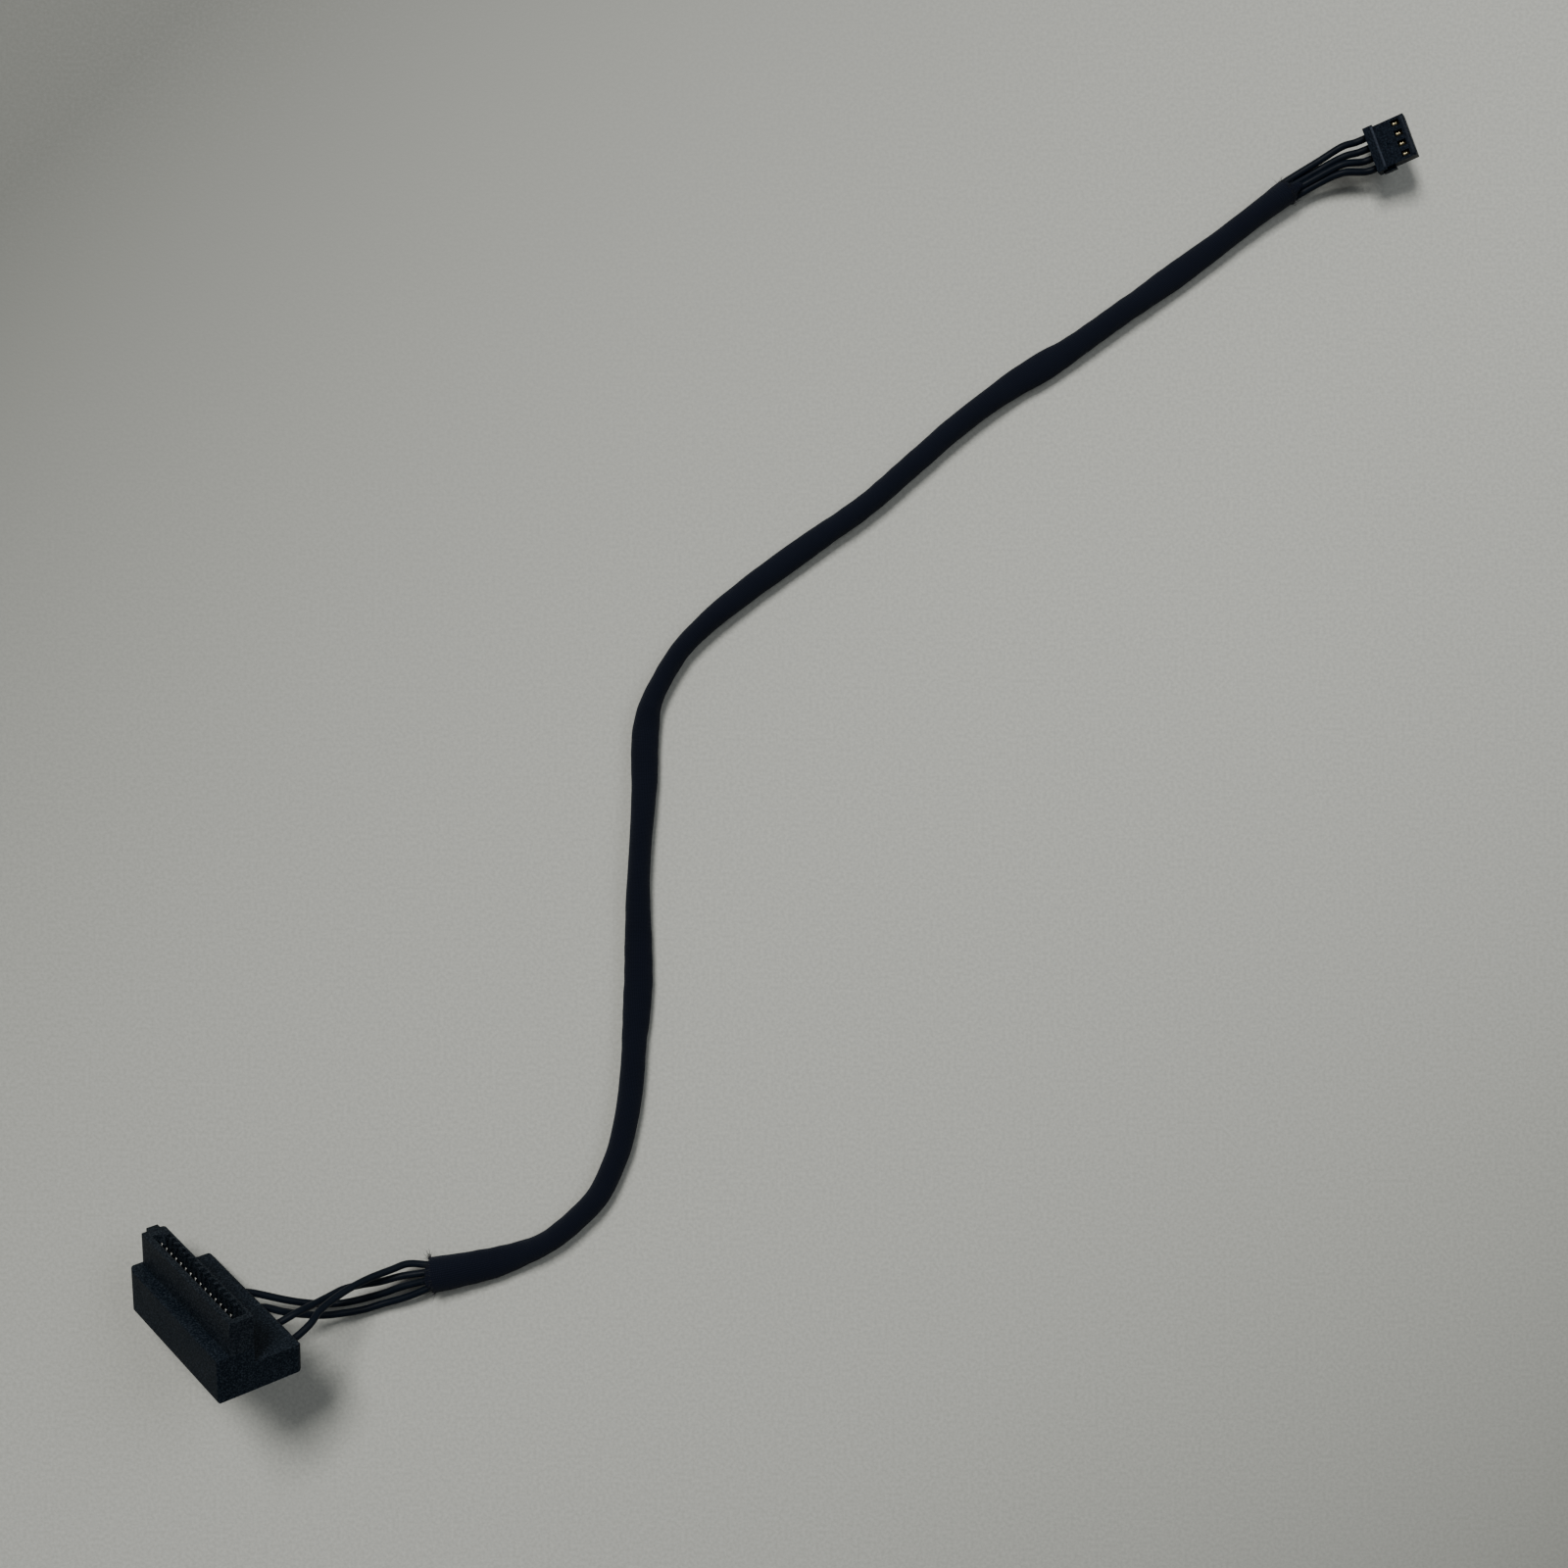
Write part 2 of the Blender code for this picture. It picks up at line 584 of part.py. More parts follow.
def make_plug_housing():
    half, thick = PLUG_WIDTH / 2, PLUG_THICKNESS / 2
    shell = box_mesh("plug_housing", ((-PLUG_LENGTH + PLUG_FLANGE_LENGTH / 2, -half, -thick), (0.0, half, thick)))
    housing = add_piece("plug_housing", shell, black_insulator, plug)

    proud = PLUG_FLANGE_PROUD
    flange = box_mesh("plug_flange", (
        (-PLUG_LENGTH, -half - proud, -thick), (-PLUG_BODY_LENGTH, half + proud, thick + proud)))
    boolean(housing, add_cutter("plug_flange", flange, plug), "UNION")
    ear = box_mesh("plug_ear", (
        (-PLUG_BODY_LENGTH - PLUG_FLANGE_LENGTH / 2, -half - PLUG_EAR_REACH, -thick / 2),
        (-PLUG_BODY_LENGTH + PLUG_EAR_LENGTH, -half + PLUG_EAR_REACH, thick / 2)))
    boolean(housing, add_cutter("plug_ear", ear, plug), "UNION")
    bumps = box_mesh("plug_bumps", *[
        ((-BUMP_SETBACK - BUMP_LENGTH, way_y(way + 0.5) - BUMP_LENGTH / 2, thick - BUMP_HEIGHT),
         (-BUMP_SETBACK, way_y(way + 0.5) + BUMP_LENGTH / 2, thick + BUMP_HEIGHT))
        for way in range(PLUG_WAYS - 1)])
    boolean(housing, add_cutter("plug_bumps", bumps, plug), "UNION")

    cavities = box_mesh("plug_cavities", *[
        ((-PLUG_FRONT_WALL - CAVITY_LENGTH, way_y(way) - CAVITY_WIDTH / 2, -CAVITY_HEIGHT / 2),
         (-PLUG_FRONT_WALL, way_y(way) + CAVITY_WIDTH / 2, CAVITY_HEIGHT / 2))
        for way in range(PLUG_WAYS)])
    boolean(housing, add_cutter("plug_cavities", cavities, plug))
    pin_holes = box_mesh("plug_pin_holes", *[
        ((-PLUG_FRONT_WALL * 2, way_y(way) - PLUG_PIN_HOLE / 2, -PLUG_PIN_HOLE / 2),
         (PLUG_FRONT_WALL, way_y(way) + PLUG_PIN_HOLE / 2, PLUG_PIN_HOLE / 2))
        for way in range(PLUG_WAYS)])
    boolean(housing, add_cutter("plug_pin_holes", pin_holes, plug))
    windows = box_mesh("plug_windows", *[
        ((-WINDOW_SETBACK - WINDOW_LENGTH, way_y(way) - WINDOW_WIDTH / 2, 0.0),
         (-WINDOW_SETBACK, way_y(way) + WINDOW_WIDTH / 2, PLUG_THICKNESS))
        for way in range(PLUG_WAYS)])
    boolean(housing, add_cutter("plug_windows", windows, plug))
    bores = rod_mesh("plug_wire_bores", PLUG_BORE_RADIUS, [
        ((-PLUG_LENGTH - PLUG_FRONT_WALL, way_y(way), -PLUG_GAP),
         (-PLUG_FRONT_WALL - CAVITY_LENGTH + PLUG_GAP, way_y(way), -PLUG_GAP))
        for way in range(PLUG_WAYS)], sides=12)
    boolean(housing, add_cutter("plug_wire_bores", bores, plug))
    return housing


def make_terminals():
    """Four crimp terminals: a square socket for the pin and a crimp block on the wire."""
    front = -PLUG_FRONT_WALL - PLUG_GAP
    for way in range(PLUG_WAYS):
        y = way_y(way)
        wide, tall = TERMINAL_WIDTH / 2, TERMINAL_HEIGHT / 2
        socket = box_mesh("plug_terminal", (
            (front - TERMINAL_LENGTH, y - wide, -tall), (front, y + wide, tall)))
        terminal = add_piece(f"plug_terminal_{way + 1}", socket, gold_contact, plug)
        crimp = box_mesh("plug_crimp", (
            (front - TERMINAL_LENGTH - CRIMP_LENGTH, y - CRIMP_SIZE / 2, -CRIMP_SIZE / 2),
            (front - TERMINAL_LENGTH + CRIMP_LENGTH / 4, y + CRIMP_SIZE / 2, CRIMP_SIZE / 2)))
        boolean(terminal, add_cutter(f"plug_crimp_{way + 1}", crimp, plug), "UNION")
        wide, tall = wide - TERMINAL_WALL, tall - TERMINAL_WALL
        hole = box_mesh("terminal_hole", (
            (front - TERMINAL_LENGTH * 0.8, y - wide, -tall), (0.0, y + wide, tall)))
        boolean(terminal, add_cutter(f"terminal_hole_{way + 1}", hole, plug))


clear_scene()
parts = make_collection("sata_power_cable")
cutters = make_collection("cutters")

black_moulding = principled("black_moulding", (0.012, 0.013, 0.015), 0.55)
black_insulator = principled("black_insulator", (0.016, 0.017, 0.019), 0.45)
black_wire = principled("black_wire", (0.010, 0.011, 0.013), 0.40)
woven_sleeve = principled("woven_sleeve", (0.008, 0.010, 0.016), 0.80)
contact_metal = principled("contact_metal", (0.80, 0.78, 0.72), 0.25, 1.0)
gold_contact = principled("gold_contact", (0.83, 0.64, 0.25), 0.30, 1.0)

connector = bpy.data.objects.new("connector_frame", None)
plug = bpy.data.objects.new("plug_frame", None)
parts.objects.link(connector)
parts.objects.link(plug)
plug.location = PLUG_PLACE
plug.rotation_euler = [math.radians(a) for a in PLUG_TURN]

stand_connector([make_body(), make_insulator()])
make_contacts()
sleeve_places = sleeve_stations()
make_sleeve(sleeve_places)
make_wires(sleeve_places)
make_plug_housing()
make_terminals()
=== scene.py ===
import math

import bmesh
import bpy
import numpy as np
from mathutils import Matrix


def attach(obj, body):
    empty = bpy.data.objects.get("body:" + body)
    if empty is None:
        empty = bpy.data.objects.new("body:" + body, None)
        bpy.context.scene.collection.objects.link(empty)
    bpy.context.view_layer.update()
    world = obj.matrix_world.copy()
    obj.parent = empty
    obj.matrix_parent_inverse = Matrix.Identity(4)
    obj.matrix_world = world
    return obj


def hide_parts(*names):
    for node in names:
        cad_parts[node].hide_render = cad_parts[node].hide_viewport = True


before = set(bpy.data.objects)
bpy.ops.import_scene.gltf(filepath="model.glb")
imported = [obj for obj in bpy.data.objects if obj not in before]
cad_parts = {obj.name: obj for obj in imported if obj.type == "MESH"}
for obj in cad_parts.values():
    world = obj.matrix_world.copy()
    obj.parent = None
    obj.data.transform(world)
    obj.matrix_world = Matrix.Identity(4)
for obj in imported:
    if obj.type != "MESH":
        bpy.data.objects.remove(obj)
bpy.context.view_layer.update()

# Looks of a short drive power cable, in metres: x right, y up in the picture, z off the table.


# Camera: straight down over the middle of the cable.
picture = {
    "centre": (0.0686, 0.0629),
    "height": 0.272,
    "lens": 49.5,
    "sensor": 36.0,
}


def placeCamera():
    camera = bpy.data.objects.new("pictureCamera", bpy.data.cameras.new("pictureCamera"))
    bpy.context.scene.collection.objects.link(camera)
    camera.location = (*picture["centre"], picture["height"])
    camera.data.lens = picture["lens"]
    camera.data.sensor_width = picture["sensor"]
    camera.data.clip_start = 0.01
    camera.data.clip_end = 20.0
    bpy.context.scene.camera = camera
    print("camera placed")


placeCamera()


# Node materials as expressions: a Signal is one output socket, a Finish is one material.

class Signal:
    def __init__(self, finish, socket):
        self.finish = finish
        self.socket = socket

    def join(self, operation, first, second=0.0):
        node = self.finish.add("ShaderNodeMath", {"operation": operation}, {0: first, 1: second})
        return Signal(self.finish, node.outputs[0])

    def __add__(self, other):
        return self.join("ADD", self, other)

    def __sub__(self, other):
        return self.join("SUBTRACT", self, other)

    def __mul__(self, other):
        return self.join("MULTIPLY", self, other)

    def sine(self):
        return self.join("SINE", self)

    def size(self):
        return self.join("ABSOLUTE", self)


class Finish:
    def __init__(self, name, sockets):
        self.material = bpy.data.materials.new(name)
        self.material.use_nodes = True
        self.tree = self.material.node_tree
        self.shader = self.tree.nodes["Principled BSDF"]
        for socket, value in sockets.items():
            self.shader.inputs[socket].default_value = value

    def add(self, kind, settings, values):
        node = self.tree.nodes.new(kind)
        for key, value in settings.items():
            setattr(node, key, value)
        for key, value in values.items():
            if isinstance(value, Signal):
                self.tree.links.new(value.socket, node.inputs[key])
            else:
                node.inputs[key].default_value = value
        return node

    def objectPlace(self):
        return Signal(self, self.add("ShaderNodeTexCoord", {}, {}).outputs["Object"])

    def laidOut(self):
        # u runs round a cord and v along it, both in millimetres
        node = self.add("ShaderNodeUVMap", {"uv_map": "laidOut"}, {})
        parts = self.add("ShaderNodeSeparateXYZ", {}, {0: Signal(self, node.outputs[0])})
        return Signal(self, parts.outputs[0]), Signal(self, parts.outputs[1])

    def noise(self, place, scale, detail=3.0, roughness=0.55):
        values = {"Vector": place, "Scale": scale, "Detail": detail, "Roughness": roughness}
        return Signal(self, self.add("ShaderNodeTexNoise", {}, values).outputs[0])

    def stretched(self, place, scale):
        node = self.add("ShaderNodeMapping", {}, {"Vector": place, "Scale": scale})
        return Signal(self, node.outputs[0])

    def level(self, value, low, high, least, most):
        node = self.add("ShaderNodeMapRange", {}, {
            "Value": value, "From Min": low, "From Max": high, "To Min": least, "To Max": most})
        return Signal(self, node.outputs[0])

    def mixed(self, share, first, second):
        first, second = [c if isinstance(c, Signal) else (*c, 1.0) for c in (first, second)]
        node = self.add("ShaderNodeMix", {"data_type": "RGBA"}, {0: share, 6: first, 7: second})
        return Signal(self, node.outputs[2])

    def relief(self, height, distance):
        node = self.add("ShaderNodeBump", {}, {"Height": height, "Distance": distance, "Strength": 1.0})
        self.feed("Normal", Signal(self, node.outputs[0]))

    def feed(self, socket, signal):
        self.tree.links.new(signal.socket, self.shader.inputs[socket])


# Curves and surfaces as arrays.

def smoothLine(route, samples):
    # Catmull-Rom cubic through each pair of route points, all pieces at once
    p = np.asarray(route, float)
    p = np.vstack([2 * p[0] - p[1], p, 2 * p[-1] - p[-2]])
    a, b, c, d = (q[:, None, :] for q in (p[:-3], p[1:-2], p[2:-1], p[3:]))
    t = (np.arange(samples) / samples)[None, :, None]
    line = 0.5 * (2 * b + (c - a) * t + (2 * a - 5 * b + 4 * c - d) * t ** 2
                  + (3 * b - a - 3 * c + d) * t ** 3)
    return np.vstack([line.reshape(-1, p.shape[1]), p[-2]])


def travelled(line):
    # running length along a line
    return np.concatenate([[0.0], np.cumsum(np.linalg.norm(np.diff(line, axis=0), axis=1))])


def unit(vectors):
    return vectors / np.linalg.norm(vectors, axis=-1, keepdims=True)


def ease(value):
    # smooth step from 0 to 1
    value = np.clip(value, 0.0, 1.0)
    return value * value * (3 - 2 * value)


def sideFrames(line):
    # left and up directions across a line that is never vertical
    ahead = unit(np.gradient(line, axis=0))
    left = unit(np.cross([0.0, 0.0, 1.0], ahead))
    return left, np.cross(ahead, left)


def turning(degrees):
    # rotation about x, then y, then z
    (sx, sy, sz), (cx, cy, cz) = np.sin(np.radians(degrees)), np.cos(np.radians(degrees))
    aboutX = np.array([[1, 0, 0], [0, cx, -sx], [0, sx, cx]])
    aboutY = np.array([[cy, 0, sy], [0, 1, 0], [-sy, 0, cy]])
    aboutZ = np.array([[cz, -sz, 0], [sz, cz, 0], [0, 0, 1]])
    return aboutZ @ aboutY @ aboutX


def standing(points, place):
    # points in a connector's own axes, put where it lies
    return np.asarray(points, float) @ turning(place["turn"]).T + place["origin"]


def ringPiece(name, rings, material, uv=None, loop=False, sharp=None):
    # quads join each closed ring of points to the next; flat caps close the two ends
    rows, around = rings.shape[:2]
    index = np.arange(rows * around).reshape(rows, around)
    after = np.roll(index, -1, axis=1)
    ahead = np.roll(index, -1, axis=0) if loop else index[1:]
    aheadAfter = np.roll(after, -1, axis=0) if loop else after[1:]
    count = rows if loop else rows - 1
    quads = np.stack([index[:count], after[:count], aheadAfter, ahead], axis=-1).reshape(-1, 4)
    faces = quads.tolist()
    if not loop:
        faces += [index[0, ::-1].tolist(), index[-1].tolist()]
    mesh = bpy.data.meshes.new(name)
    mesh.from_pydata(rings.reshape(-1, 3).tolist(), [], faces)
    if uv is not None:
        layUv(mesh, uv, count, around, loop)
    mesh.shade_smooth()
    if sharp is not None:
        mesh.set_sharp_from_angle(angle=math.radians(sharp))
    return addPiece(name, mesh, material)


def layUv(mesh, uv, count, around, loop):
    # uv has one more column and row than the rings, so a pattern runs on over the seams
    here, ahead = uv[:count], uv[1:count + 1]
    corners = np.stack([here[:, :-1], here[:, 1:], ahead[:, 1:], ahead[:, :-1]], axis=2)
    flat = np.zeros((len(mesh.loops), 2))
    flat[:count * around * 4] = corners.reshape(-1, 2)
    layer = mesh.uv_layers.new(name="laidOut")
    layer.data.foreach_set("uv", flat.ravel())


def addPiece(name, mesh, material):
    mesh.update()
    mesh.materials.append(material)
    piece = bpy.data.objects.new(name, mesh)
    bpy.context.scene.collection.objects.link(piece)
    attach(piece, "root")
    return piece


def evenNormals(piece):
    # flat faces keep their own direction beside rounded edges
    modifier = piece.modifiers.new("evenNormals", "WEIGHTED_NORMAL")
    modifier.keep_sharp = True


def tubeRings(line, radius, around):
    # circles across a line
    left, up = sideFrames(line)
    angle = np.linspace(0.0, 2 * np.pi, around, endpoint=False)[None, :, None]
    radius = np.broadcast_to(radius, len(line))[:, None, None]
    return line[:, None] + radius * (np.cos(angle) * left[:, None] + np.sin(angle) * up[:, None])


def tubeUv(line, radius, around):
    # millimetres round and along
    across = np.linspace(0.0, 2 * np.pi * radius, around + 1)[None, :] * 1000
    along = travelled(line)[:, None] * 1000
    return np.stack(np.broadcast_arrays(across, along), axis=-1)


def squared(part, power):
    # a circle's sine or cosine, pulled out towards a square as the power falls below 1
    return np.sign(part) * np.abs(part) ** power


# Materials.
plastics = {
    "bodyPlastic": {
        "dark": (0.0006, 0.0026, 0.0060), "light": (0.0250, 0.0340, 0.0450),
        "rough": 0.58, "grain": 0.000025, "shine": 0.045},
    "headPlastic": {
        "dark": (0.0006, 0.0024, 0.0056), "light": (0.0280, 0.0360, 0.0450),
        "rough": 0.55, "grain": 0.000025, "shine": 0.06},
    "plugPlastic": {
        "dark": (0.0002, 0.0016, 0.0052), "light": (0.0110, 0.0180, 0.0290),
        "rough": 0.50, "grain": 0.00004, "shine": 0.05},
    # painted highlight: the flange ridge's lighter plastic stands in for the light caught along its edge
    "ridgePaintedHighlight": {
        "dark": (0.016, 0.021, 0.032), "light": (0.038, 0.048, 0.068),
        "rough": 0.5, "grain": 0.00002, "shine": 0.1},
    # painted highlight: the front lip's lighter plastic stands in for the light on the front edge's chamfer
    "lipPaintedHighlight": {
        "dark": (0.006, 0.009, 0.015), "light": (0.020, 0.026, 0.038),
        "rough": 0.5, "grain": 0.00002, "shine": 0.08},
}
metals = {
    "springMetal": {"bright": (0.90, 0.90, 0.87), "dull": (0.60, 0.60, 0.56), "rough": 0.38},
    "goldMetal": {"bright": (0.98, 0.90, 0.62), "dull": (0.80, 0.64, 0.30), "rough": 0.36},
}


def mouldedFinish(name):
    # moulded plastic: cloudy tone, sparkle of a matt mould, faint scuffs
    look = plastics[name]
    light, rough = look["light"], look["rough"]
    finish = Finish(name, {"Specular IOR Level": look["shine"]})
    place = finish.objectPlace()
    cloud = finish.noise(place, 260.0)
    fine = finish.noise(place, 4600.0, 2.0, 0.65)
    scuff = finish.noise(finish.stretched(place, (1.0, 0.25, 1.0)), 1800.0, 4.0, 0.7)
    worn = finish.level(scuff, 0.60, 0.74, 0.0, 1.0)
    speckle = finish.level(fine, 0.45, 0.66, 0.0, 1.0)
    tone = finish.mixed(cloud * 0.25 + speckle * 0.75, look["dark"], light)
    finish.feed("Base Color", finish.mixed(worn * 0.3, tone, [c * 1.8 for c in light]))
    finish.feed("Roughness", finish.level(cloud, 0.3, 0.7, rough - 0.05, rough + 0.07) + worn * 0.08)
    finish.relief(fine + scuff * 0.3, look["grain"])
    return finish.material


def metalFinish(name):
    # plated contact: brushed along, slightly stained
    look = metals[name]
    rough = look["rough"]
    finish = Finish(name, {"Metallic": 1.0})
    place = finish.objectPlace()
    stain = finish.noise(place, 1500.0)
    brushed = finish.noise(finish.stretched(place, (1.0, 1.0, 0.15)), 9000.0, 2.0)
    finish.feed("Base Color", finish.mixed(stain, look["dull"], look["bright"]))
    finish.feed("Roughness", finish.level(brushed, 0.3, 0.7, rough - 0.06, rough + 0.1))
    finish.relief(brushed, 0.000004)
    return finish.material


def wireFinish():
    # soft extruded insulation: faint lengthwise draw lines and handling marks
    finish = Finish("wireInsulation", {"Specular IOR Level": 0.09})
    u, v = finish.laidOut()
    place = finish.objectPlace()
    cloud = finish.noise(place, 900.0)
    marks = finish.noise(place, 4200.0, 4.0, 0.7)
    drawn = (u * 19.0 + marks * 4.0).sine()
    finish.feed("Base Color", finish.mixed(cloud, (0.0016, 0.0036, 0.0075), (0.0056, 0.0092, 0.0160)))
    finish.feed("Roughness", finish.level(marks, 0.3, 0.7, 0.40, 0.54) + (v * 0.9).sine() * 0.02)
    finish.relief(drawn * 0.25 + marks, 0.000008)
    return finish.material


def sleeveFinish():
    # fine plain weave: threads over and under each other, round and along; the threads' crowns are painted
    # lighter and the hollows between them darker, as painted highlight and shade
    finish = Finish("wovenSleeve", {
        "Specular IOR Level": 0.12, "Sheen Weight": 0.05, "Sheen Roughness": 0.5,
        "Sheen Tint": (0.55, 0.65, 0.85, 1.0)})
    u, v = finish.laidOut()
    place = finish.objectPlace()
    wander = finish.noise(place, 700.0, 2.0)
    cloud = finish.noise(place, 130.0, 3.0)
    fuzz = finish.noise(place, 9000.0, 3.0, 0.7)
    across = (v * 20.0 + wander * 2.5).sine()
    along = (u * 16.0 + wander * 2.0).sine()
    weave = across * along
    crown = weave.size()
    # painted shade and highlight: thread colour runs from dark in the weave's hollows to lighter on the
    # crowns
    paintedWeaveShade = finish.mixed(crown, (0.0011, 0.0018, 0.0050), (0.0046, 0.0072, 0.0178))
    lint = finish.level(fuzz, 0.66, 0.74, 0.0, 0.5)
    tone = finish.mixed(cloud * 0.4, paintedWeaveShade, (0.0052, 0.0080, 0.0180))
    finish.feed("Base Color", finish.mixed(lint * 0.4, tone, (0.020, 0.024, 0.032)))
    finish.feed("Roughness", finish.level(crown, 0.0, 1.0, 0.92, 0.72))
    finish.relief(crown + across * 0.25 + fuzz * 0.3, 0.00005)
    return finish.material


def threadFinish():
    finish = Finish("looseThread", {"Roughness": 0.7, "Specular IOR Level": 0.3})
    tone = finish.noise(finish.objectPlace(), 2500.0)
    finish.feed("Base Color", finish.mixed(tone, (0.004, 0.005, 0.008), (0.022, 0.025, 0.033)))
    return finish.material


bodyPlastic, headPlastic, plugPlastic, ridgePaintedHighlight, lipPaintedHighlight = (mouldedFinish(name) for name in plastics)
springMetal, goldMetal = (metalFinish(name) for name in metals)
wireInsulation = wireFinish()
wovenSleeve = sleeveFinish()
looseThread = threadFinish()
print("materials made")


# Where the two connectors lie, in their own axes and turned as they came to rest.
drivePlace = {
    "origin": np.array([-0.0115465, -0.0017025, 0.0060629]),
    "turn": (-59.35, -43.7, -26.1),
}
plugPlace = {
    "origin": np.array([0.1459, 0.14293, 0.00615]),
    "turn": (1.0, -23.1, 20.2),
    "partOrigin": np.array([0.1460, 0.1431, 0.00615]),
    "wider": 1.04,
}


# Cords: the part's routes, with the ends at the plug fitted to the picture.
cords = {
    "wireDiameter": 0.00085,
    "straightOut": 0.0012,
    "layPitch": 0.00093,
    "sleeveDiameter": 0.0030,
    "sleeveMouth": 0.0044,
    "flareLength": 0.0090,
    "samples": 24,
    "sleeveSteps": [0.0, 0.003, 0.008],
    "betweenSteps": 17,
    "layAt": [0.0, 0.0032, 0.0064, 0.0096],
    "farCloser": 0.2,
    "bodyBack": 0.01045,
    "wireIn": 0.0047,
    "wireHeight": 0.00182,
    "plugBack": 0.0050,
    "plugIn": 0.0036,
    "plugWireHeight": -0.0001,
    "plugPitch": 0.0013,
    "contactPitch": 0.00127,
    "firstContact": 0.002485,
}

wires = {
    "wireGroundA": {
        "node": "wire_ground_a",
        "contact": 4,
        "way": 2,
        "near": [
            (0.0064, -0.0014, 0.0032), (0.0088, -0.0020, 0.0023), (0.0113, -0.0023, 0.0017),
            (0.0140, -0.0021, 0.0014), (0.0180, -0.0011, 0.0014), (0.0210, 0.0000, 0.0018),
        ],
        "far": [(0.1353, 0.1387, 0.0030), (0.1382, 0.1400, 0.0038)],
        "lay": [(-0.5, 0.1), (-0.5, 0.43), (-0.5, 0.5), (-0.5, 0.5)],
    },
    "wireFiveVolt": {
        "node": "wire_five_volt",
        "contact": 7,
        "way": 3,
        "near": [
            (0.0071, -0.0022, 0.0062), (0.0093, -0.0030, 0.0042), (0.0116, -0.0034, 0.0028),
            (0.0154, -0.0031, 0.0017), (0.0183, -0.0023, 0.0015), (0.0213, -0.0014, 0.0018),
        ],
        "far": [(0.1353, 0.1379, 0.0025), (0.1382, 0.1390, 0.0035)],
        "lay": [(-1.5, -0.1), (-1.2, -0.36), (-0.72, -0.5), (-0.5, -0.5)],
    },
    "wireGroundB": {
        "node": "wire_ground_b",
        "contact": 10,
        "way": 1,
        "near": [
            (0.0091, -0.0016, 0.0092), (0.0107, -0.0010, 0.0076), (0.0123, -0.0004, 0.0060),
            (0.0140, 0.0003, 0.0048), (0.0160, 0.0006, 0.0038), (0.0182, 0.0008, 0.0030),
            (0.0209, 0.0014, 0.0024),
        ],
        "far": [(0.1353, 0.1396, 0.0023), (0.1382, 0.1410, 0.0034)],
        "lay": [(0.5, -0.1), (0.5, -0.43), (0.5, -0.5), (0.5, -0.5)],
    },
    "wireTwelveVolt": {
        "node": "wire_twelve_volt",
        "contact": 13,
        "way": 0,
        "near": [
            (0.0113, -0.0024, 0.0115), (0.0122, -0.0011, 0.0100), (0.0135, -0.0001, 0.0086),
            (0.0148, 0.0007, 0.0074), (0.0163, 0.0014, 0.0062), (0.0177, 0.0019, 0.0051),
            (0.0198, 0.0025, 0.0038), (0.0217, 0.0030, 0.0028),
        ],
        "far": [(0.1353, 0.1406, 0.0029), (0.1380, 0.1422, 0.0036)],
        "lay": [(1.5, 0.1), (1.2, 0.36), (0.72, 0.5), (0.5, 0.5)],
    },
}

sleeveRoute = [
    (0.0246, 0.0014), (0.0281, 0.0020), (0.0321, 0.0028), (0.0357, 0.0040), (0.0393, 0.0057),
    (0.0424, 0.0082), (0.0451, 0.0110), (0.0469, 0.0144), (0.0482, 0.0181), (0.0490, 0.0220),
    (0.0495, 0.0259), (0.0499, 0.0318), (0.0503, 0.0377), (0.0503, 0.0436), (0.0503, 0.0495),
    (0.0506, 0.0554), (0.0510, 0.0613), (0.0511, 0.0652), (0.0512, 0.0691), (0.0519, 0.0730),
    (0.0536, 0.0765), (0.0557, 0.0798), (0.0585, 0.0827), (0.0614, 0.0852), (0.0661, 0.0888),
    (0.0725, 0.0934), (0.0789, 0.0979), (0.0849, 0.1031), (0.0908, 0.1082), (0.0972, 0.1129),
    (0.1039, 0.1170), (0.1103, 0.1215), (0.1167, 0.1260), (0.1230, 0.1306), (0.1277, 0.1342),
    (0.1315, 0.1370),
]


def contactPlace(number):
    # how far along the row a contact stands
    return cords["firstContact"] + number * cords["contactPitch"]


def wayPlace(way):
    # how far off the plug's middle a way is
    return cords["plugPitch"] * (1.5 - way)


def flareRadius(distance):
    # half the sleeve's width at a distance from its nearer end
    share = ease(distance / cords["flareLength"])
    return (cords["sleeveMouth"] + (cords["sleeveDiameter"] - cords["sleeveMouth"]) * share) / 2


def alongSleeve(reach):
    # the sleeve's middle line and its left side at distances from the drive's side
    line = smoothLine(sleeveRoute, cords["samples"])
    length = travelled(line)
    side = np.gradient(line, axis=0)[:, ::-1] * [-1.0, 1.0]
    flat, left = (np.stack([np.interp(reach, length, part[:, k]) for k in range(2)], axis=1)
                  for part in (line, side))
    return flat, unit(left), length[-1]


def wireLine(wire):
    # route points: out of the body, along the table, through the sleeve and up into the plug
    whole = alongSleeve(np.zeros(1))[2]
    near = np.array(cords["sleeveSteps"])
    between = np.linspace(near[-1], whole - near[-1], cords["betweenSteps"])[1:-1]
    reach = np.concatenate([near, between, whole - near[::-1]])
    flat, left, whole = alongSleeve(reach)
    fromEnd = np.minimum(reach, whole - reach)
    lay = np.array(wire["lay"]) * cords["layPitch"]
    across, rise = (np.interp(fromEnd, cords["layAt"], lay[:, k]) for k in range(2))
    across = across * (1 - cords["farCloser"] * (1 - ease((whole - reach) / cords["layAt"][-1])))
    inside = np.column_stack([flat + left * across[:, None], flareRadius(fromEnd) + rise])
    x, back, high = contactPlace(wire["contact"]), cords["bodyBack"], cords["wireHeight"]
    start, out, clear = standing(
        [(x, cords["wireIn"], high), (x, back, high), (x, back + cords["straightOut"], high)], drivePlace)
    y, low = wayPlace(wire["way"]), cords["plugWireHeight"]
    inlet, end = standing(
        [(-cords["plugBack"] - cords["straightOut"], y, low), (-cords["plugIn"], y, low)], plugPlace)
    return np.vstack([start, out, clear, wire["near"], inside, wire["far"], inlet, end]), out


wireLook = {"samples": 10, "around": 14, "thickness": 0.00093}


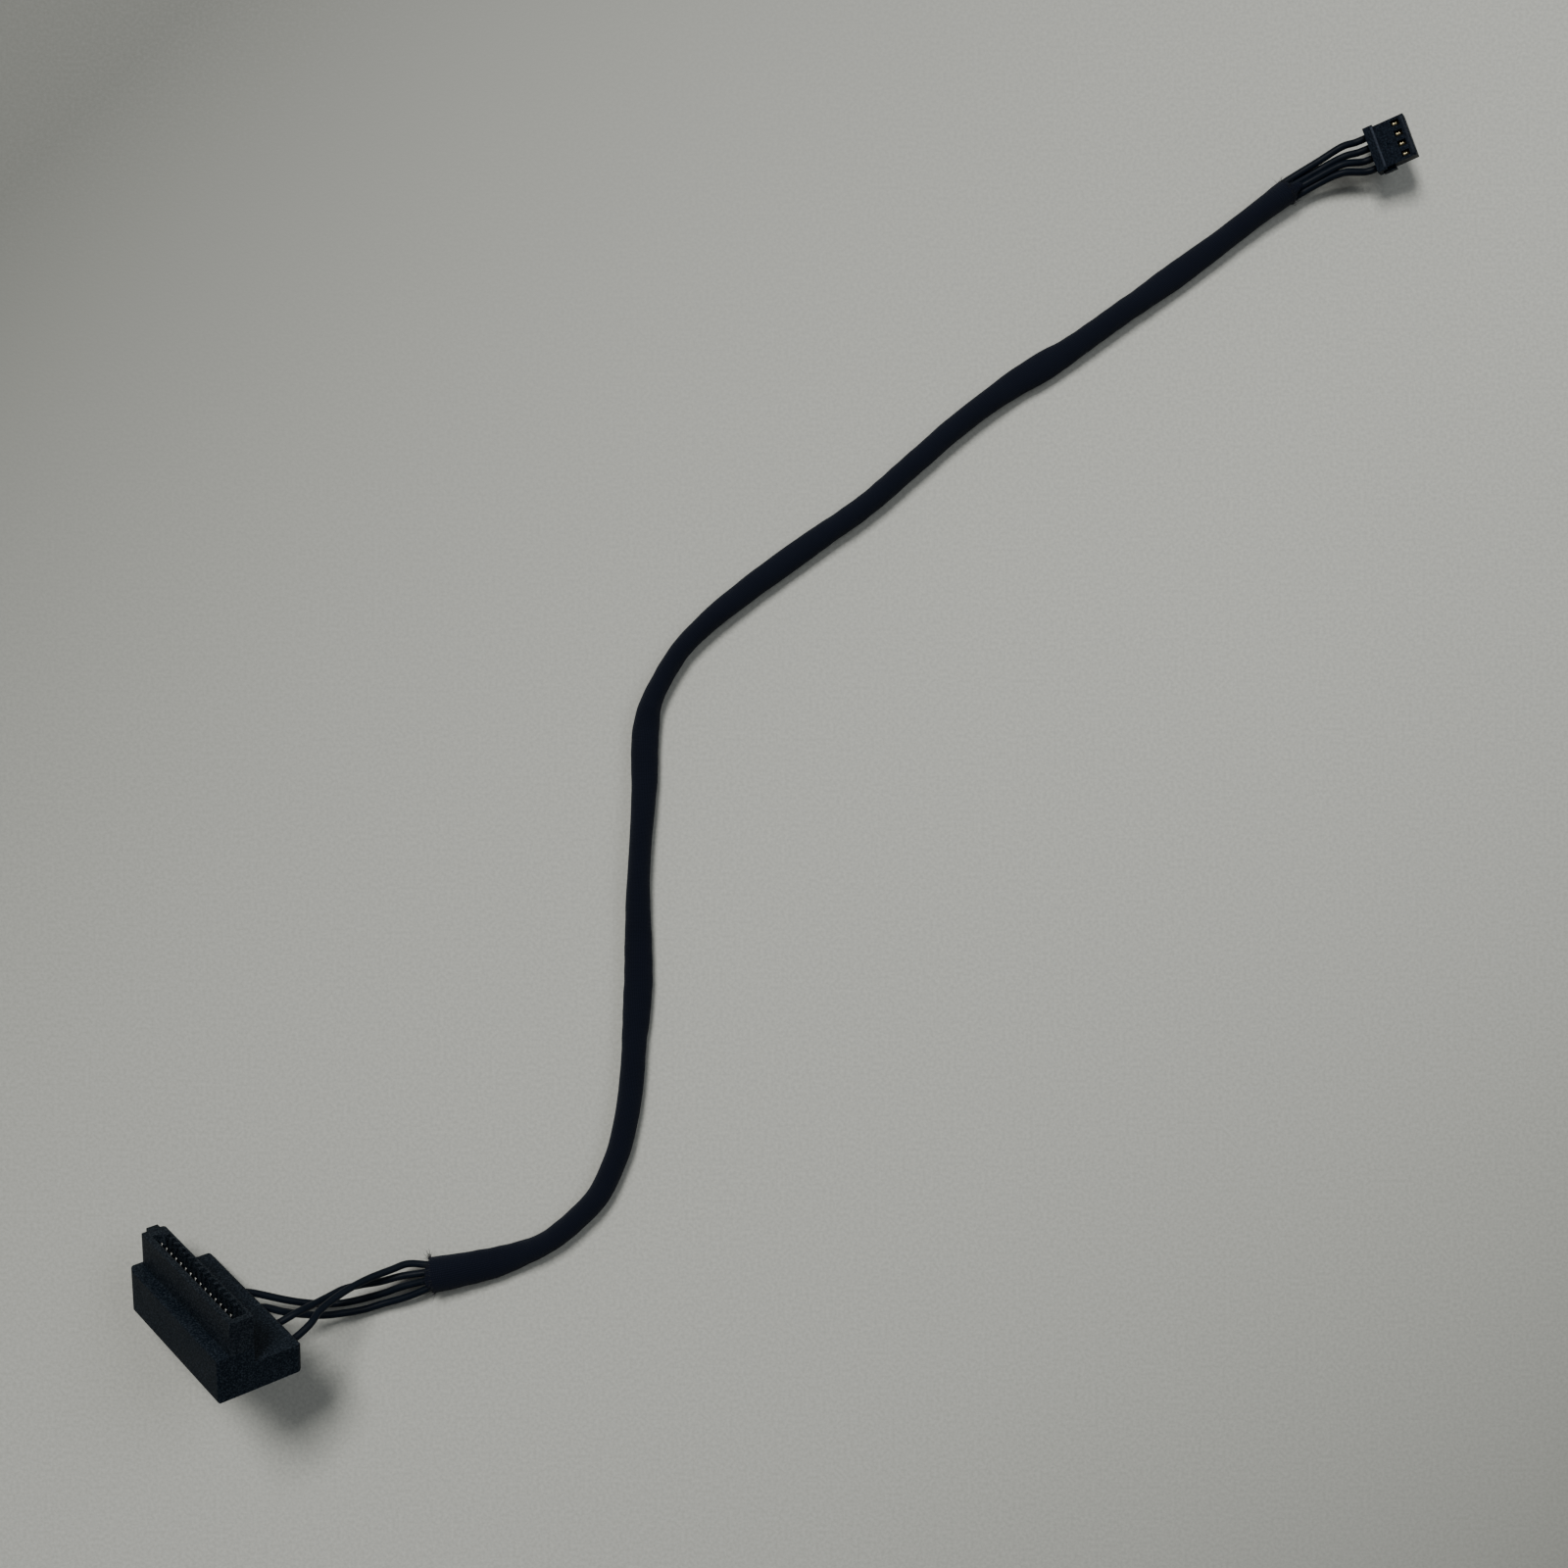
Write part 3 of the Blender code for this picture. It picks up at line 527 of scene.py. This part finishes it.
def makeWires():
    made = {}
    for name, wire in wires.items():
        line, out = wireLine(wire)
        fine = smoothLine(line, wireLook["samples"])
        radius = wireLook["thickness"] / 2
        rings = tubeRings(fine, radius, wireLook["around"])
        uv = tubeUv(fine, radius, wireLook["around"])
        piece = ringPiece(name, rings, wireInsulation, uv)
        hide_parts(wire["node"])
        made[name] = (piece, fine, out)
        print(name, len(line), "points,", round(travelled(fine)[-1] * 1000, 1), "mm")
    return made


# Sleeve: widths seen from above and heights off the table, at distances from the drive's side.
sleeveLook = {
    "rows": 900,
    "around": 48,
    "innerRows": 200,
    "wall": 0.00015,
    "distance": [0, 3.3, 8.2, 13.2, 18, 28, 38, 43, 48, 53, 58, 63, 68, 73, 78, 83, 87, 92, 97, 102,
                 112, 122, 142, 147, 152, 157, 166, 171, 176, 181, 186, 189.5, 192.5],
    "width": [4.4, 4.24, 3.77, 2.9, 2.84, 2.95, 3.1, 3.09, 3.54, 3.55, 3.31, 2.94, 2.81, 3.02, 3.38,
              3.35, 2.68, 2.52, 2.61, 2.91, 3.16, 2.87, 2.95, 3.31, 3.64, 3.06, 2.99, 3.28, 3.11, 2.91,
              2.99, 3.2, 3.35],
    "roundAbout": 6.1,
    "lowest": 2.75,
    "highest": 3.25,
    "mouthHeight": 3.9,
    "mouthReach": 0.009,
    "tableGap": 0.00002,
    "edgeRows": 8,
    "pathPoints": 90,
    "farTongue": 0.0016,
    "nearTongue": 0.0009,
}


def makeSleeve():
    # oval tube lying on the table, with soft creases, turned in at both mouths
    look = sleeveLook
    line = smoothLine(sleeveRoute, cords["samples"])
    length = travelled(line)
    reach = np.linspace(0.0, length[-1], look["rows"])
    flat = np.stack([np.interp(reach, length, line[:, k]) for k in range(2)], axis=1)
    along = reach * 1000
    smoothTable = smoothLine(np.column_stack([look["distance"], look["width"]]), 12)
    wide = np.interp(along, smoothTable[:, 0], smoothTable[:, 1]) / 2000
    nearEnd = np.minimum(reach, reach[-1] - reach)
    high = np.clip(look["roundAbout"] - wide * 2000, look["lowest"], look["highest"]) / 2000
    high = high + (look["mouthHeight"] / 2000 - high) * (1 - ease(nearEnd / look["mouthReach"]))
    angle = np.linspace(0.0, 2 * np.pi, look["around"], endpoint=False)[None, :]
    s, half = along[:, None], (wide[:, None], high[:, None])
    crease = (0.016 * np.sin(s * 1.15 + 2.0 * np.sin(angle + s * 0.05)) * np.sin(s * 0.21 + 1.3) ** 2
              + 0.012 * np.sin(s * 2.3 + 3 * angle) * np.sin(s * 0.083 + 0.6) ** 2)
    body = np.stack([np.cos(angle) * half[0] * (1 + crease), np.sin(angle) * half[1] * (1 + crease * 0.6)])
    outer = sleeveRings(flat, reach, body, high)
    inner = sleeveRings(flat, reach, body * (1 - look["wall"] / high)[None, :, None], high)
    pick = np.linspace(look["rows"] - 1, 0, look["innerRows"]).astype(int)
    rings = np.vstack([outer, inner[pick]])
    rings = roughMouths(rings, len(outer), angle[0])
    roundMm = np.linspace(0.0, np.pi * cords["sleeveDiameter"] * 1000, look["around"] + 1)[None, :]
    alongMm = np.concatenate([along, along[pick], along[:1]])[:, None]
    uv = np.stack(np.broadcast_arrays(roundMm, alongMm), axis=-1)
    piece = ringPiece("sleeve", rings, wovenSleeve, uv, loop=True)
    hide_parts("sleeve")
    path = np.column_stack([flat, high])
    return piece, path, outer


def sleeveRings(flat, reach, body, high):
    # ring points from their offsets across and up; the lowest point stays on the table
    ahead = unit(np.gradient(flat, axis=0))
    left = np.column_stack([-ahead[:, 1], ahead[:, 0]])
    across, up = body
    level = np.maximum(high[:, None] + up, sleeveLook["tableGap"])
    place = flat[:, None] + across[:, :, None] * left[:, None]
    return np.concatenate([place, level[:, :, None]], axis=2)


def roughMouths(rings, outerRows, angle):
    # uneven cut edges: rows near each end slide along the sleeve
    rings = rings.copy()
    uneven = 0.00012 * (np.sin(7 * angle + 1.0) + np.sin(13 * angle) + 0.6 * np.sin(29 * angle))
    tongue = sleeveLook["farTongue"] * np.exp(-((np.cos(angle) + 0.25) / 0.45) ** 2)
    bulge = sleeveLook["nearTongue"] * np.exp(-(np.cos(angle) / 0.6) ** 2)
    count = sleeveLook["edgeRows"]
    for last, step, shift in ((0, 1, uneven + bulge), (outerRows - 1, -1, uneven + tongue)):
        ahead = unit(rings[last].mean(axis=0) - rings[last + count * step].mean(axis=0))
        fade = (1 - np.arange(count) / count)[:, None, None]
        rows = last + step * np.arange(count)
        rings[rows] += fade * shift[None, :, None] * ahead
    rings[outerRows] = rings[outerRows - 1] * 0.5 + rings[outerRows] * 0.5
    return rings


madeWires = makeWires()
sleeve, sleevePath, sleeveOuter = makeSleeve()
print("cords made")


# Loose threads at the sleeve's cut ends, and one tuft that stands off the near mouth.
fray = {
    "threads": 90,
    "shortest": 0.0002,
    "longest": 0.0010,
    "thickness": 0.000035,
    "points": 5,
    "splay": 0.55,
    "tuftThreads": 16,
    "tuftLength": 0.0011,
}


def threadShells(base, ahead, length, bend, look):
    # short tapered three-sided hairs: each bends away from its first direction
    t = np.linspace(0.0, 1.0, look["points"])[None, :, None]
    line = base[:, None] + length[:, None, None] * (ahead[:, None] * t + bend[:, None] * t ** 2)
    left = unit(np.cross(ahead, [0.31, 0.17, 0.93]))
    up = np.cross(ahead, left)
    angle = np.array([0.0, 2.1, 4.2])[None, None, :, None]
    thin = look["thickness"] * (1 - 0.7 * t)[:, :, None]
    across = np.cos(angle) * left[:, None, None] + np.sin(angle) * up[:, None, None]
    return line[:, :, None] + thin * across


def hairPiece(name, shells):
    # one closed shell for each hair
    count, points = shells.shape[:2]
    base = (np.arange(count) * points * 3)[:, None, None]
    ring = np.arange(points - 1)[None, :, None] * 3 + np.arange(3)[None, None, :]
    after = np.arange(points - 1)[None, :, None] * 3 + (np.arange(3)[None, None, :] + 1) % 3
    quads = np.stack([base + ring, base + after, base + after + 3, base + ring + 3], axis=-1).reshape(-1, 4)
    foot = base[:, 0] + np.array([[2, 1, 0]])
    tip = base[:, 0] + (points - 1) * 3 + np.array([[0, 1, 2]])
    mesh = bpy.data.meshes.new(name)
    mesh.from_pydata(shells.reshape(-1, 3).tolist(), [], quads.tolist() + foot.tolist() + tip.tolist())
    return addPiece(name, mesh, looseThread)


def makeFray():
    chance = np.random.default_rng(11)
    base, ahead, length, bend = [], [], [], []
    for row, inward in ((0, 6), (-1, -7)):
        rim = sleeveOuter[row]
        out = unit(rim.mean(axis=0) - sleeveOuter[inward].mean(axis=0))
        pick = chance.integers(0, len(rim), fray["threads"])
        away = unit(rim[pick] - rim.mean(axis=0))
        wild = chance.normal(0.0, 0.35, (fray["threads"], 3))
        base.append(rim[pick] - out * 0.0001)
        ahead.append(unit(out + away * fray["splay"] * chance.random((fray["threads"], 1)) + wild))
        length.append(chance.uniform(fray["shortest"], fray["longest"], fray["threads"]))
        bend.append(chance.normal(0.0, 0.3, (fray["threads"], 3)))
    rim = sleeveOuter[0]
    corner = rim[np.argmax(rim[:, 1])]
    base.append(corner + chance.normal(0.0, 0.00008, (fray["tuftThreads"], 3)))
    ahead.append(unit(np.array([0.1, 1.0, 0.35]) + chance.normal(0.0, 0.35, (fray["tuftThreads"], 3))))
    length.append(fray["tuftLength"] * chance.uniform(0.6, 1.0, fray["tuftThreads"]))
    bend.append(chance.normal(0.0, 0.4, (fray["tuftThreads"], 3)))
    shells = threadShells(*(np.concatenate(part) for part in (base, ahead, length, bend)), fray)
    shells[..., 2] = np.maximum(shells[..., 2], 0.00004)
    return hairPiece("frayedThreads", shells)


frayedThreads = makeFray()


# Drive connector body: an L-shaped side profile carried along the contact row.
body = {
    "left": -0.0006,
    "length": 0.02285,
    "near": -0.00028,
    "depth": 0.0106,
    "backHeight": 0.0038,
    "nearHeight": 0.0059,
    "stepAt": 0.00445,
    "edge": 0.0002,
    "reaches": (1.0, 2.5, 2.5, 0.6, 0.05, 0.2, 1.5),
    "cornerSteps": 7,
    "endSteps": 12,
    "middleFrom": 0.002,
    "middleSteps": 5,
    "nearLeft": 0.0013,
    "backLeft": 0.0009,
    "nearRight": 0.0003,
    "backRight": 0.0007,
}


# Insulator head: rings go up the outside, over the rim and down into the slot.
head = {
    "left": 0.0001,
    "right": 0.02285,
    "near": 0.00138,
    "far": 0.00445,
    "top": 0.01035,
    "foot": 0.00588,
    "ribNear": 0.00235,
    "ribFar": 0.00385,
    "ribReach": 0.0007,
    "farLeftCorner": 0.00045,
    "slotLeft": 0.0015,
    "slotRight": 0.0220,
    "slotNear": 0.0022,
    "slotFar": 0.0036,
    "slotFloor": 0.00475,
    "passageFar": 0.00415,
    "passageWidth": 0.00074,
    "keyLeft": 0.0210,
    "keyFar": 0.0040,
    "rim": 0.00008,
    "count": 15,
}


def softCorners(corners, reach, steps):
    # each corner becomes a short quadratic curve between points a reach away on both sides
    p = np.asarray(corners, float)
    reach = np.broadcast_to(reach, len(p))[:, None]
    before = p + unit(np.roll(p, 1, axis=0) - p) * reach
    after = p + unit(np.roll(p, -1, axis=0) - p) * reach
    t = np.linspace(0.0, 1.0, steps)[None, :, None]
    curve = (1 - t) ** 2 * before[:, None] + 2 * t * (1 - t) * p[:, None] + t ** 2 * after[:, None]
    return curve.reshape(-1, 2)


def cornerInset(distance, radius):
    # how far a quarter circle of that radius stays in, at a distance from the end
    short = np.clip(radius - distance, 0.0, radius)
    return radius - np.sqrt(radius ** 2 - short ** 2)


def makeBody():
    d, n, b, s, e = body["depth"], body["nearHeight"], body["backHeight"], body["stepAt"], body["edge"]
    front = body["near"]
    corners = [(front, 0), (d, 0), (d, b), (s, b), (s, n), (head["near"], n), (front, n)]
    profile = softCorners(corners, e * np.array(body["reaches"]), body["cornerSteps"])
    tangent = np.roll(profile, -1, axis=0) - np.roll(profile, 1, axis=0)
    facing = unit(np.column_stack([tangent[:, 1], -tangent[:, 0]]))
    ends = body["nearLeft"] * (1 - np.cos(np.linspace(0.0, np.pi / 2, body["endSteps"])))
    first, last, run = body["left"], body["length"], body["middleFrom"]
    middle = np.linspace(first + run, last - run, body["middleSteps"])
    x = np.concatenate([first + ends, middle, last - ends[::-1]])
    fromLeft, fromRight = x[:, None] - first, last - x[:, None]
    near = np.maximum(cornerInset(fromLeft, body["nearLeft"]), cornerInset(fromRight, body["nearRight"]))
    back = np.maximum(cornerInset(fromLeft, body["backLeft"]), cornerInset(fromRight, body["backRight"]))
    edge = cornerInset(fromLeft, e * 2)
    y = np.clip(profile[None, :, 0], front + near, d - back)
    z = profile[None, :, 1] - facing[None, :, 1] * edge
    rings = np.stack(np.broadcast_arrays(x[:, None], y, z), axis=-1)
    piece = ringPiece("connectorBody", standing(rings, drivePlace), bodyPlastic, sharp=35)
    evenNormals(piece)
    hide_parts("connector_body")
    return piece


def passageCorners(offsets, depths):
    # four corners for each contact passage, from the last one to the first
    x = contactPlace(np.arange(head["count"])[::-1])[:, None] + np.array(offsets)[None, :]
    y = np.broadcast_to(np.array(depths)[None, :], x.shape)
    return np.stack([x, y], axis=-1).reshape(-1, 2).tolist()


def headOutlines():
    # outer and slot outlines with matching corners, both the same way round
    h, half = head, head["passageWidth"] / 2
    outer = [(h["left"], h["near"]), (h["right"], h["near"]), (h["right"], h["far"]),
             (h["keyLeft"] + 0.0004, h["far"]), (h["keyLeft"] + 0.0001, h["far"])]
    slot = [(h["slotLeft"], h["slotNear"]), (h["slotRight"], h["slotNear"]), (h["slotRight"], h["keyFar"]),
            (h["keyLeft"], h["keyFar"]), (h["keyLeft"], h["slotFar"])]
    outer += passageCorners((half + 0.0001, half - 0.0001, 0.0001 - half, -half - 0.0001), [h["far"]] * 4)
    slot += passageCorners(
        (half, half, -half, -half), [h["slotFar"], h["passageFar"], h["passageFar"], h["slotFar"]])
    bend = np.radians(np.linspace(100.0, 170.0, 4))
    cut = h["farLeftCorner"]
    arc = np.column_stack([h["left"] + cut + cut * np.cos(bend), h["far"] - cut + cut * np.sin(bend)])
    outer += arc.tolist()
    outer += [(h["left"], h["ribFar"]), (h["left"] - h["ribReach"], h["ribFar"]),
              (h["left"] - h["ribReach"], h["ribNear"]), (h["left"], h["ribNear"])]
    end = (h["slotFar"] - h["slotNear"]) / 2
    bend = np.radians(np.linspace(110.0, 172.0, 5))
    arc = np.column_stack([h["slotLeft"] + end + end * np.cos(bend), h["slotFar"] - end + end * np.sin(bend)])
    slot += arc.tolist()
    slot += [(h["slotLeft"], h["slotNear"] + 0.0006), (h["slotLeft"], h["slotNear"] + 0.0004),
             (h["slotLeft"], h["slotNear"] + 0.0002)]
    return outer, slot


def inset(outline, distance):
    # mitred offset into the outline's left side
    edge = unit(np.roll(outline, -1, axis=0) - outline)
    normal = np.column_stack([-edge[:, 1], edge[:, 0]])
    before = np.roll(normal, 1, axis=0)
    share = 1 + np.sum(normal * before, axis=1, keepdims=True)
    return outline + distance * (normal + before) / np.maximum(share, 0.4)


def makeHead():
    outer, slot = headOutlines()
    outer = softCorners(outer, np.array([0.0001] * 3 + [0.00003] * (len(outer) - 3)), 3)
    slot = softCorners(slot, 0.00003, 3)
    turn = np.linspace(0.0, np.pi / 2, 4)
    rim, top = head["rim"], head["top"]
    rows = [(outer, 0.0, head["foot"])]
    rows += [(outer, rim * (1 - math.cos(t)), top - rim + rim * math.sin(t)) for t in turn]
    rows += [(slot, -rim * (1 - math.cos(t)), top - rim + rim * math.sin(t)) for t in turn[::-1]]
    rows += [(slot, 0.0, head["slotFloor"])]
    rings = np.stack([
        np.column_stack([inset(outline, distance), np.full(len(outline), z)])
        for outline, distance, z in rows])
    piece = ringPiece("insulatorHead", standing(rings, drivePlace), headPlastic, sharp=40)
    evenNormals(piece)
    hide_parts("insulator")
    return piece


# Spring contacts: a flat strip bowed into the slot, bent under the head and led to the wires.
contact = {
    "width": 0.00042,
    "thickness": 0.00015,
    "crestDrop": 0.00115,
    "crestReach": 0.00085,
    "tipRise": 0.0004,
    "bend": 0.0004,
    "tailHeight": 0.0012,
    "tailEnd": 0.007275,
    "tipWidth": 0.6,
    "tipLength": 0.0005,
    "around": 12,
    "squareWide": 0.35,
    "squareThick": 0.5,
}


def springLine():
    h, c = head, contact
    middle = (h["slotFar"] + h["passageFar"]) / 2
    crest = h["top"] - c["crestDrop"]
    spring = h["slotFloor"] + (h["top"] - h["slotFloor"]) / 3
    bow = [(h["slotFar"] - c["crestReach"] * 0.75, crest + c["tipRise"]),
           (h["slotFar"] - c["crestReach"], crest),
           (h["slotFar"] - c["crestReach"] * 0.8, crest - c["crestDrop"] / 2),
           (h["slotFar"], (crest + spring) / 2),
           (middle, spring)]
    leg = [(middle, spring * (1 - t) + (c["tailHeight"] + c["bend"]) * t) for t in (0.33, 0.66)]
    turn = np.pi + np.pi / 2 * np.linspace(0.0, 1.0, 4)
    bend = np.column_stack([middle + c["bend"] + c["bend"] * np.cos(turn),
                            c["tailHeight"] + c["bend"] + c["bend"] * np.sin(turn)])
    return smoothLine(np.vstack([bow, leg, bend, [(c["tailEnd"], c["tailHeight"])]]), 5)


def makeContacts():
    # rounded strip section carried along the side view, once for each contact
    line = springLine()
    ahead = unit(np.gradient(line, axis=0))
    out = np.column_stack([ahead[:, 1], -ahead[:, 0]])
    angle = np.linspace(0.0, 2 * np.pi, contact["around"], endpoint=False)
    wide = squared(np.cos(angle), contact["squareWide"]) * contact["width"] / 2
    thick = squared(np.sin(angle), contact["squareThick"]) * contact["thickness"] / 2
    share = contact["tipWidth"] + (1 - contact["tipWidth"]) * ease(travelled(line) / contact["tipLength"])
    x = share[:, None] * wide[None, :]
    yz = line[:, None] + thick[None, :, None] * out[:, None]
    rings = np.concatenate([x[:, :, None], yz], axis=2)
    for i in range(head["count"]):
        moved = standing(rings + [contactPlace(i), 0.0, 0.0], drivePlace)
        number = f"{i + 1:02d}"
        piece = ringPiece("springContact" + number, moved, springMetal)
        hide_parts("contact_" + number)


makeBody()
makeHead()
makeContacts()
print("drive connector made")


# Board plug: the part's own housing with its edges rounded over.
plug = {
    "edge": 0.00009,
    "segments": 3,
    "bevelFrom": 40,
    "merge": 0.000002,
    "beadSteps": 24,
    "beadSink": 0.00001,
}
beads = {
    "flangeRidge": {"at": -0.00397, "wide": 0.00034, "high": 0.00012, "long": 0.0053, "top": 0.0018},
    "frontLip": {"at": -0.00030, "wide": 0.00040, "high": 0.00005, "long": 0.0050, "top": 0.0016},
}


def roundedCopy(node, name, material):
    # merged copy of a part node, flat faces joined, edges bevelled; a touch wider across the ways
    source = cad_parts[node]
    copy = source.data.copy()
    points = np.empty(len(copy.vertices) * 3)
    copy.vertices.foreach_get("co", points)
    own = (points.reshape(-1, 3) - plugPlace["partOrigin"]) @ turning(plugPlace["turn"])
    own[:, 1] *= plugPlace["wider"]
    copy.vertices.foreach_set("co", standing(own, plugPlace).ravel())
    work = bmesh.new()
    work.from_mesh(copy)
    bmesh.ops.remove_doubles(work, verts=work.verts, dist=plug["merge"])
    bmesh.ops.dissolve_limit(work, angle_limit=math.radians(1), verts=work.verts, edges=work.edges)
    mesh = bpy.data.meshes.new(name)
    work.to_mesh(mesh)
    work.free()
    mesh.materials.clear()
    piece = addPiece(name, mesh, material)
    bevel = piece.modifiers.new("roundedEdges", "BEVEL")
    bevel.width = plug["edge"]
    bevel.segments = plug["segments"]
    bevel.limit_method = "ANGLE"
    bevel.angle_limit = math.radians(plug["bevelFrom"])
    bevel.loop_slide = False
    mesh.shade_smooth()
    evenNormals(piece)
    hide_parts(node)
    return piece


def makeBead(name, material):
    # low rounded bead across the top of the housing, ends eased down
    bead = beads[name]
    half = np.linspace(0.0, np.pi, 9)
    across = bead["at"] + bead["wide"] / 2 * np.cos(half)
    along = np.linspace(-0.5, 0.5, plug["beadSteps"]) * bead["long"]
    fade = np.sqrt(np.clip(1 - (2 * np.abs(along) / bead["long"]) ** 16, 0.05, 1.0))
    rise = bead["top"] - plug["beadSink"] + bead["high"] * np.sin(half)[None, :] * fade[:, None]
    rings = np.stack(np.broadcast_arrays(across[None, :], along[:, None], rise), axis=-1)
    return ringPiece(name, standing(rings, plugPlace), material)


plugShell = roundedCopy("plug_housing", "plugShell", plugPlastic)
# the beads are real low ridges; their lighter colours are painted highlights
plugBeads = [makeBead("flangeRidge", ridgePaintedHighlight), makeBead("frontLip", lipPaintedHighlight)]


# Terminals: a box of folded strip with a lance that rises into the window.
terminal = {
    "along": [-0.0035, -0.00345, -0.0028, -0.0027, -0.0020, -0.00172, -0.00164, -0.00154,
              -0.00134, -0.00126, -0.0011, -0.0010, -0.0008, -0.00065, -0.00062],
    "halfWidth": [0.00020, 0.00025, 0.00025, 0.00034, 0.00034, 0.00031, 0.00031, 0.00032,
                  0.00032, 0.00026, 0.00031, 0.00029, 0.00026, 0.00030, 0.00025],
    "top": [0.00020, 0.00025, 0.00025, 0.00030, 0.00030, 0.00032, 0.00095, 0.00110,
            0.00112, 0.00106, 0.00112, 0.00100, 0.00082, 0.00076, 0.00070],
    "bottom": -0.00045,
    "stations": 60,
    "around": 20,
    "squareness": 0.65,
}


def makeTerminals():
    t = terminal
    station = np.linspace(t["along"][0], t["along"][-1], t["stations"])
    half, top = (np.interp(station, t["along"], t[key]) for key in ("halfWidth", "top"))
    middle, tall = (top + t["bottom"]) / 2, (top - t["bottom"]) / 2
    angle = np.linspace(0.0, 2 * np.pi, t["around"], endpoint=False)
    across, up = (squared(part, t["squareness"]) for part in (np.cos(angle), np.sin(angle)))
    y = half[:, None] * across[None, :]
    z = middle[:, None] + tall[:, None] * up[None, :]
    rings = np.stack(np.broadcast_arrays(station[:, None], y, z), axis=-1)
    made = []
    for way in range(4):
        moved = rings + [0.0, wayPlace(way), 0.0]
        piece = ringPiece(f"crimpTerminal{way + 1}", standing(moved, plugPlace), goldMetal)
        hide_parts(f"plug_terminal_{way + 1}")
        made.append(piece)
    return made


terminals = makeTerminals()
print("board plug made")


# Each wire's terminal, and for way 0 also the plug shell and beads, gathered into a list that nothing uses.
for name, (piece, line, out) in madeWires.items():
    way = wires[name]["way"]
    carried = [terminals[way]] + ([plugShell, *plugBeads] if way == 0 else [])


# Table, light and air.
studio = {
    "floorSize": 4.0,
    "floorColours": ((0.455, 0.460, 0.424), (0.590, 0.595, 0.548)),
    # painted shade: darker table colour to both sides of the picture's rising diagonal
    "floorShade": (0.185, 0.189, 0.171),
    "shadeFrom": -0.026,
    "shadeReach": 0.0220,
    "air": (0.93, 0.97, 1.0),
    "airStrength": 0.110,
    "lamps": [
        {"name": "ceilingLight", "place": (-0.14, 0.54, 0.90), "size": 0.30,
         "power": 8.9, "colour": (1.0, 0.99, 0.96)},
        {"name": "sideLight", "place": (0.75, 0.45, 0.85), "size": 0.5,
         "power": 2.6, "colour": (0.93, 0.97, 1.0)},
    ],
}


def makeFloor():
    half = studio["floorSize"] / 2
    mesh = bpy.data.meshes.new("table")
    corners = [(-half, -half, 0), (half, -half, 0), (half, half, 0), (-half, half, 0)]
    mesh.from_pydata(corners, [], [(0, 1, 2, 3)])
    finish = Finish("paleTable", {"Specular IOR Level": 0.3})
    place = finish.objectPlace()
    cloud = finish.noise(place, 9.0, 3.0)
    speck = finish.noise(place, 2300.0, 3.0, 0.6)
    tone = finish.mixed(cloud * 0.3 + finish.level(speck, 0.35, 0.65, 0.0, 0.7), *studio["floorColours"])
    # painted shade: the table's colour falls off to a darker tone on both sides of the picture's rising
    # diagonal
    parts = finish.add("ShaderNodeSeparateXYZ", {}, {0: place}).outputs
    x, y = (Signal(finish, parts[k]) - picture["centre"][k] for k in range(2))
    aside = (y - x) * 0.707 - studio["shadeFrom"]
    shade = finish.level(aside * aside, 0.0, studio["shadeReach"], 0.0, 1.0)
    finish.feed("Base Color", finish.mixed(shade, tone, studio["floorShade"]))
    finish.feed("Roughness", finish.level(speck, 0.3, 0.7, 0.5, 0.65))
    finish.relief(speck, 0.00002)
    mesh.materials.append(finish.material)
    table = bpy.data.objects.new("table", mesh)
    bpy.context.scene.collection.objects.link(table)


def makeLight():
    for lamp in studio["lamps"]:
        data = bpy.data.lights.new(lamp["name"], "AREA")
        data.size = lamp["size"]
        data.energy = lamp["power"]
        data.color = lamp["colour"]
        light = bpy.data.objects.new(lamp["name"], data)
        bpy.context.scene.collection.objects.link(light)
        light.location = lamp["place"]
        aim = np.array([picture["centre"][0], picture["centre"][1], 0.0]) - lamp["place"]
        flat = math.hypot(aim[0], aim[1])
        light.rotation_euler = (math.atan2(flat, -aim[2]), 0.0, math.atan2(-aim[0], aim[1]))
    world = bpy.data.worlds.new("air")
    world.use_nodes = True
    background = world.node_tree.nodes["Background"]
    background.inputs["Color"].default_value = (*studio["air"], 1.0)
    background.inputs["Strength"].default_value = studio["airStrength"]
    bpy.context.scene.world = world


makeFloor()
makeLight()
print("table and light made")
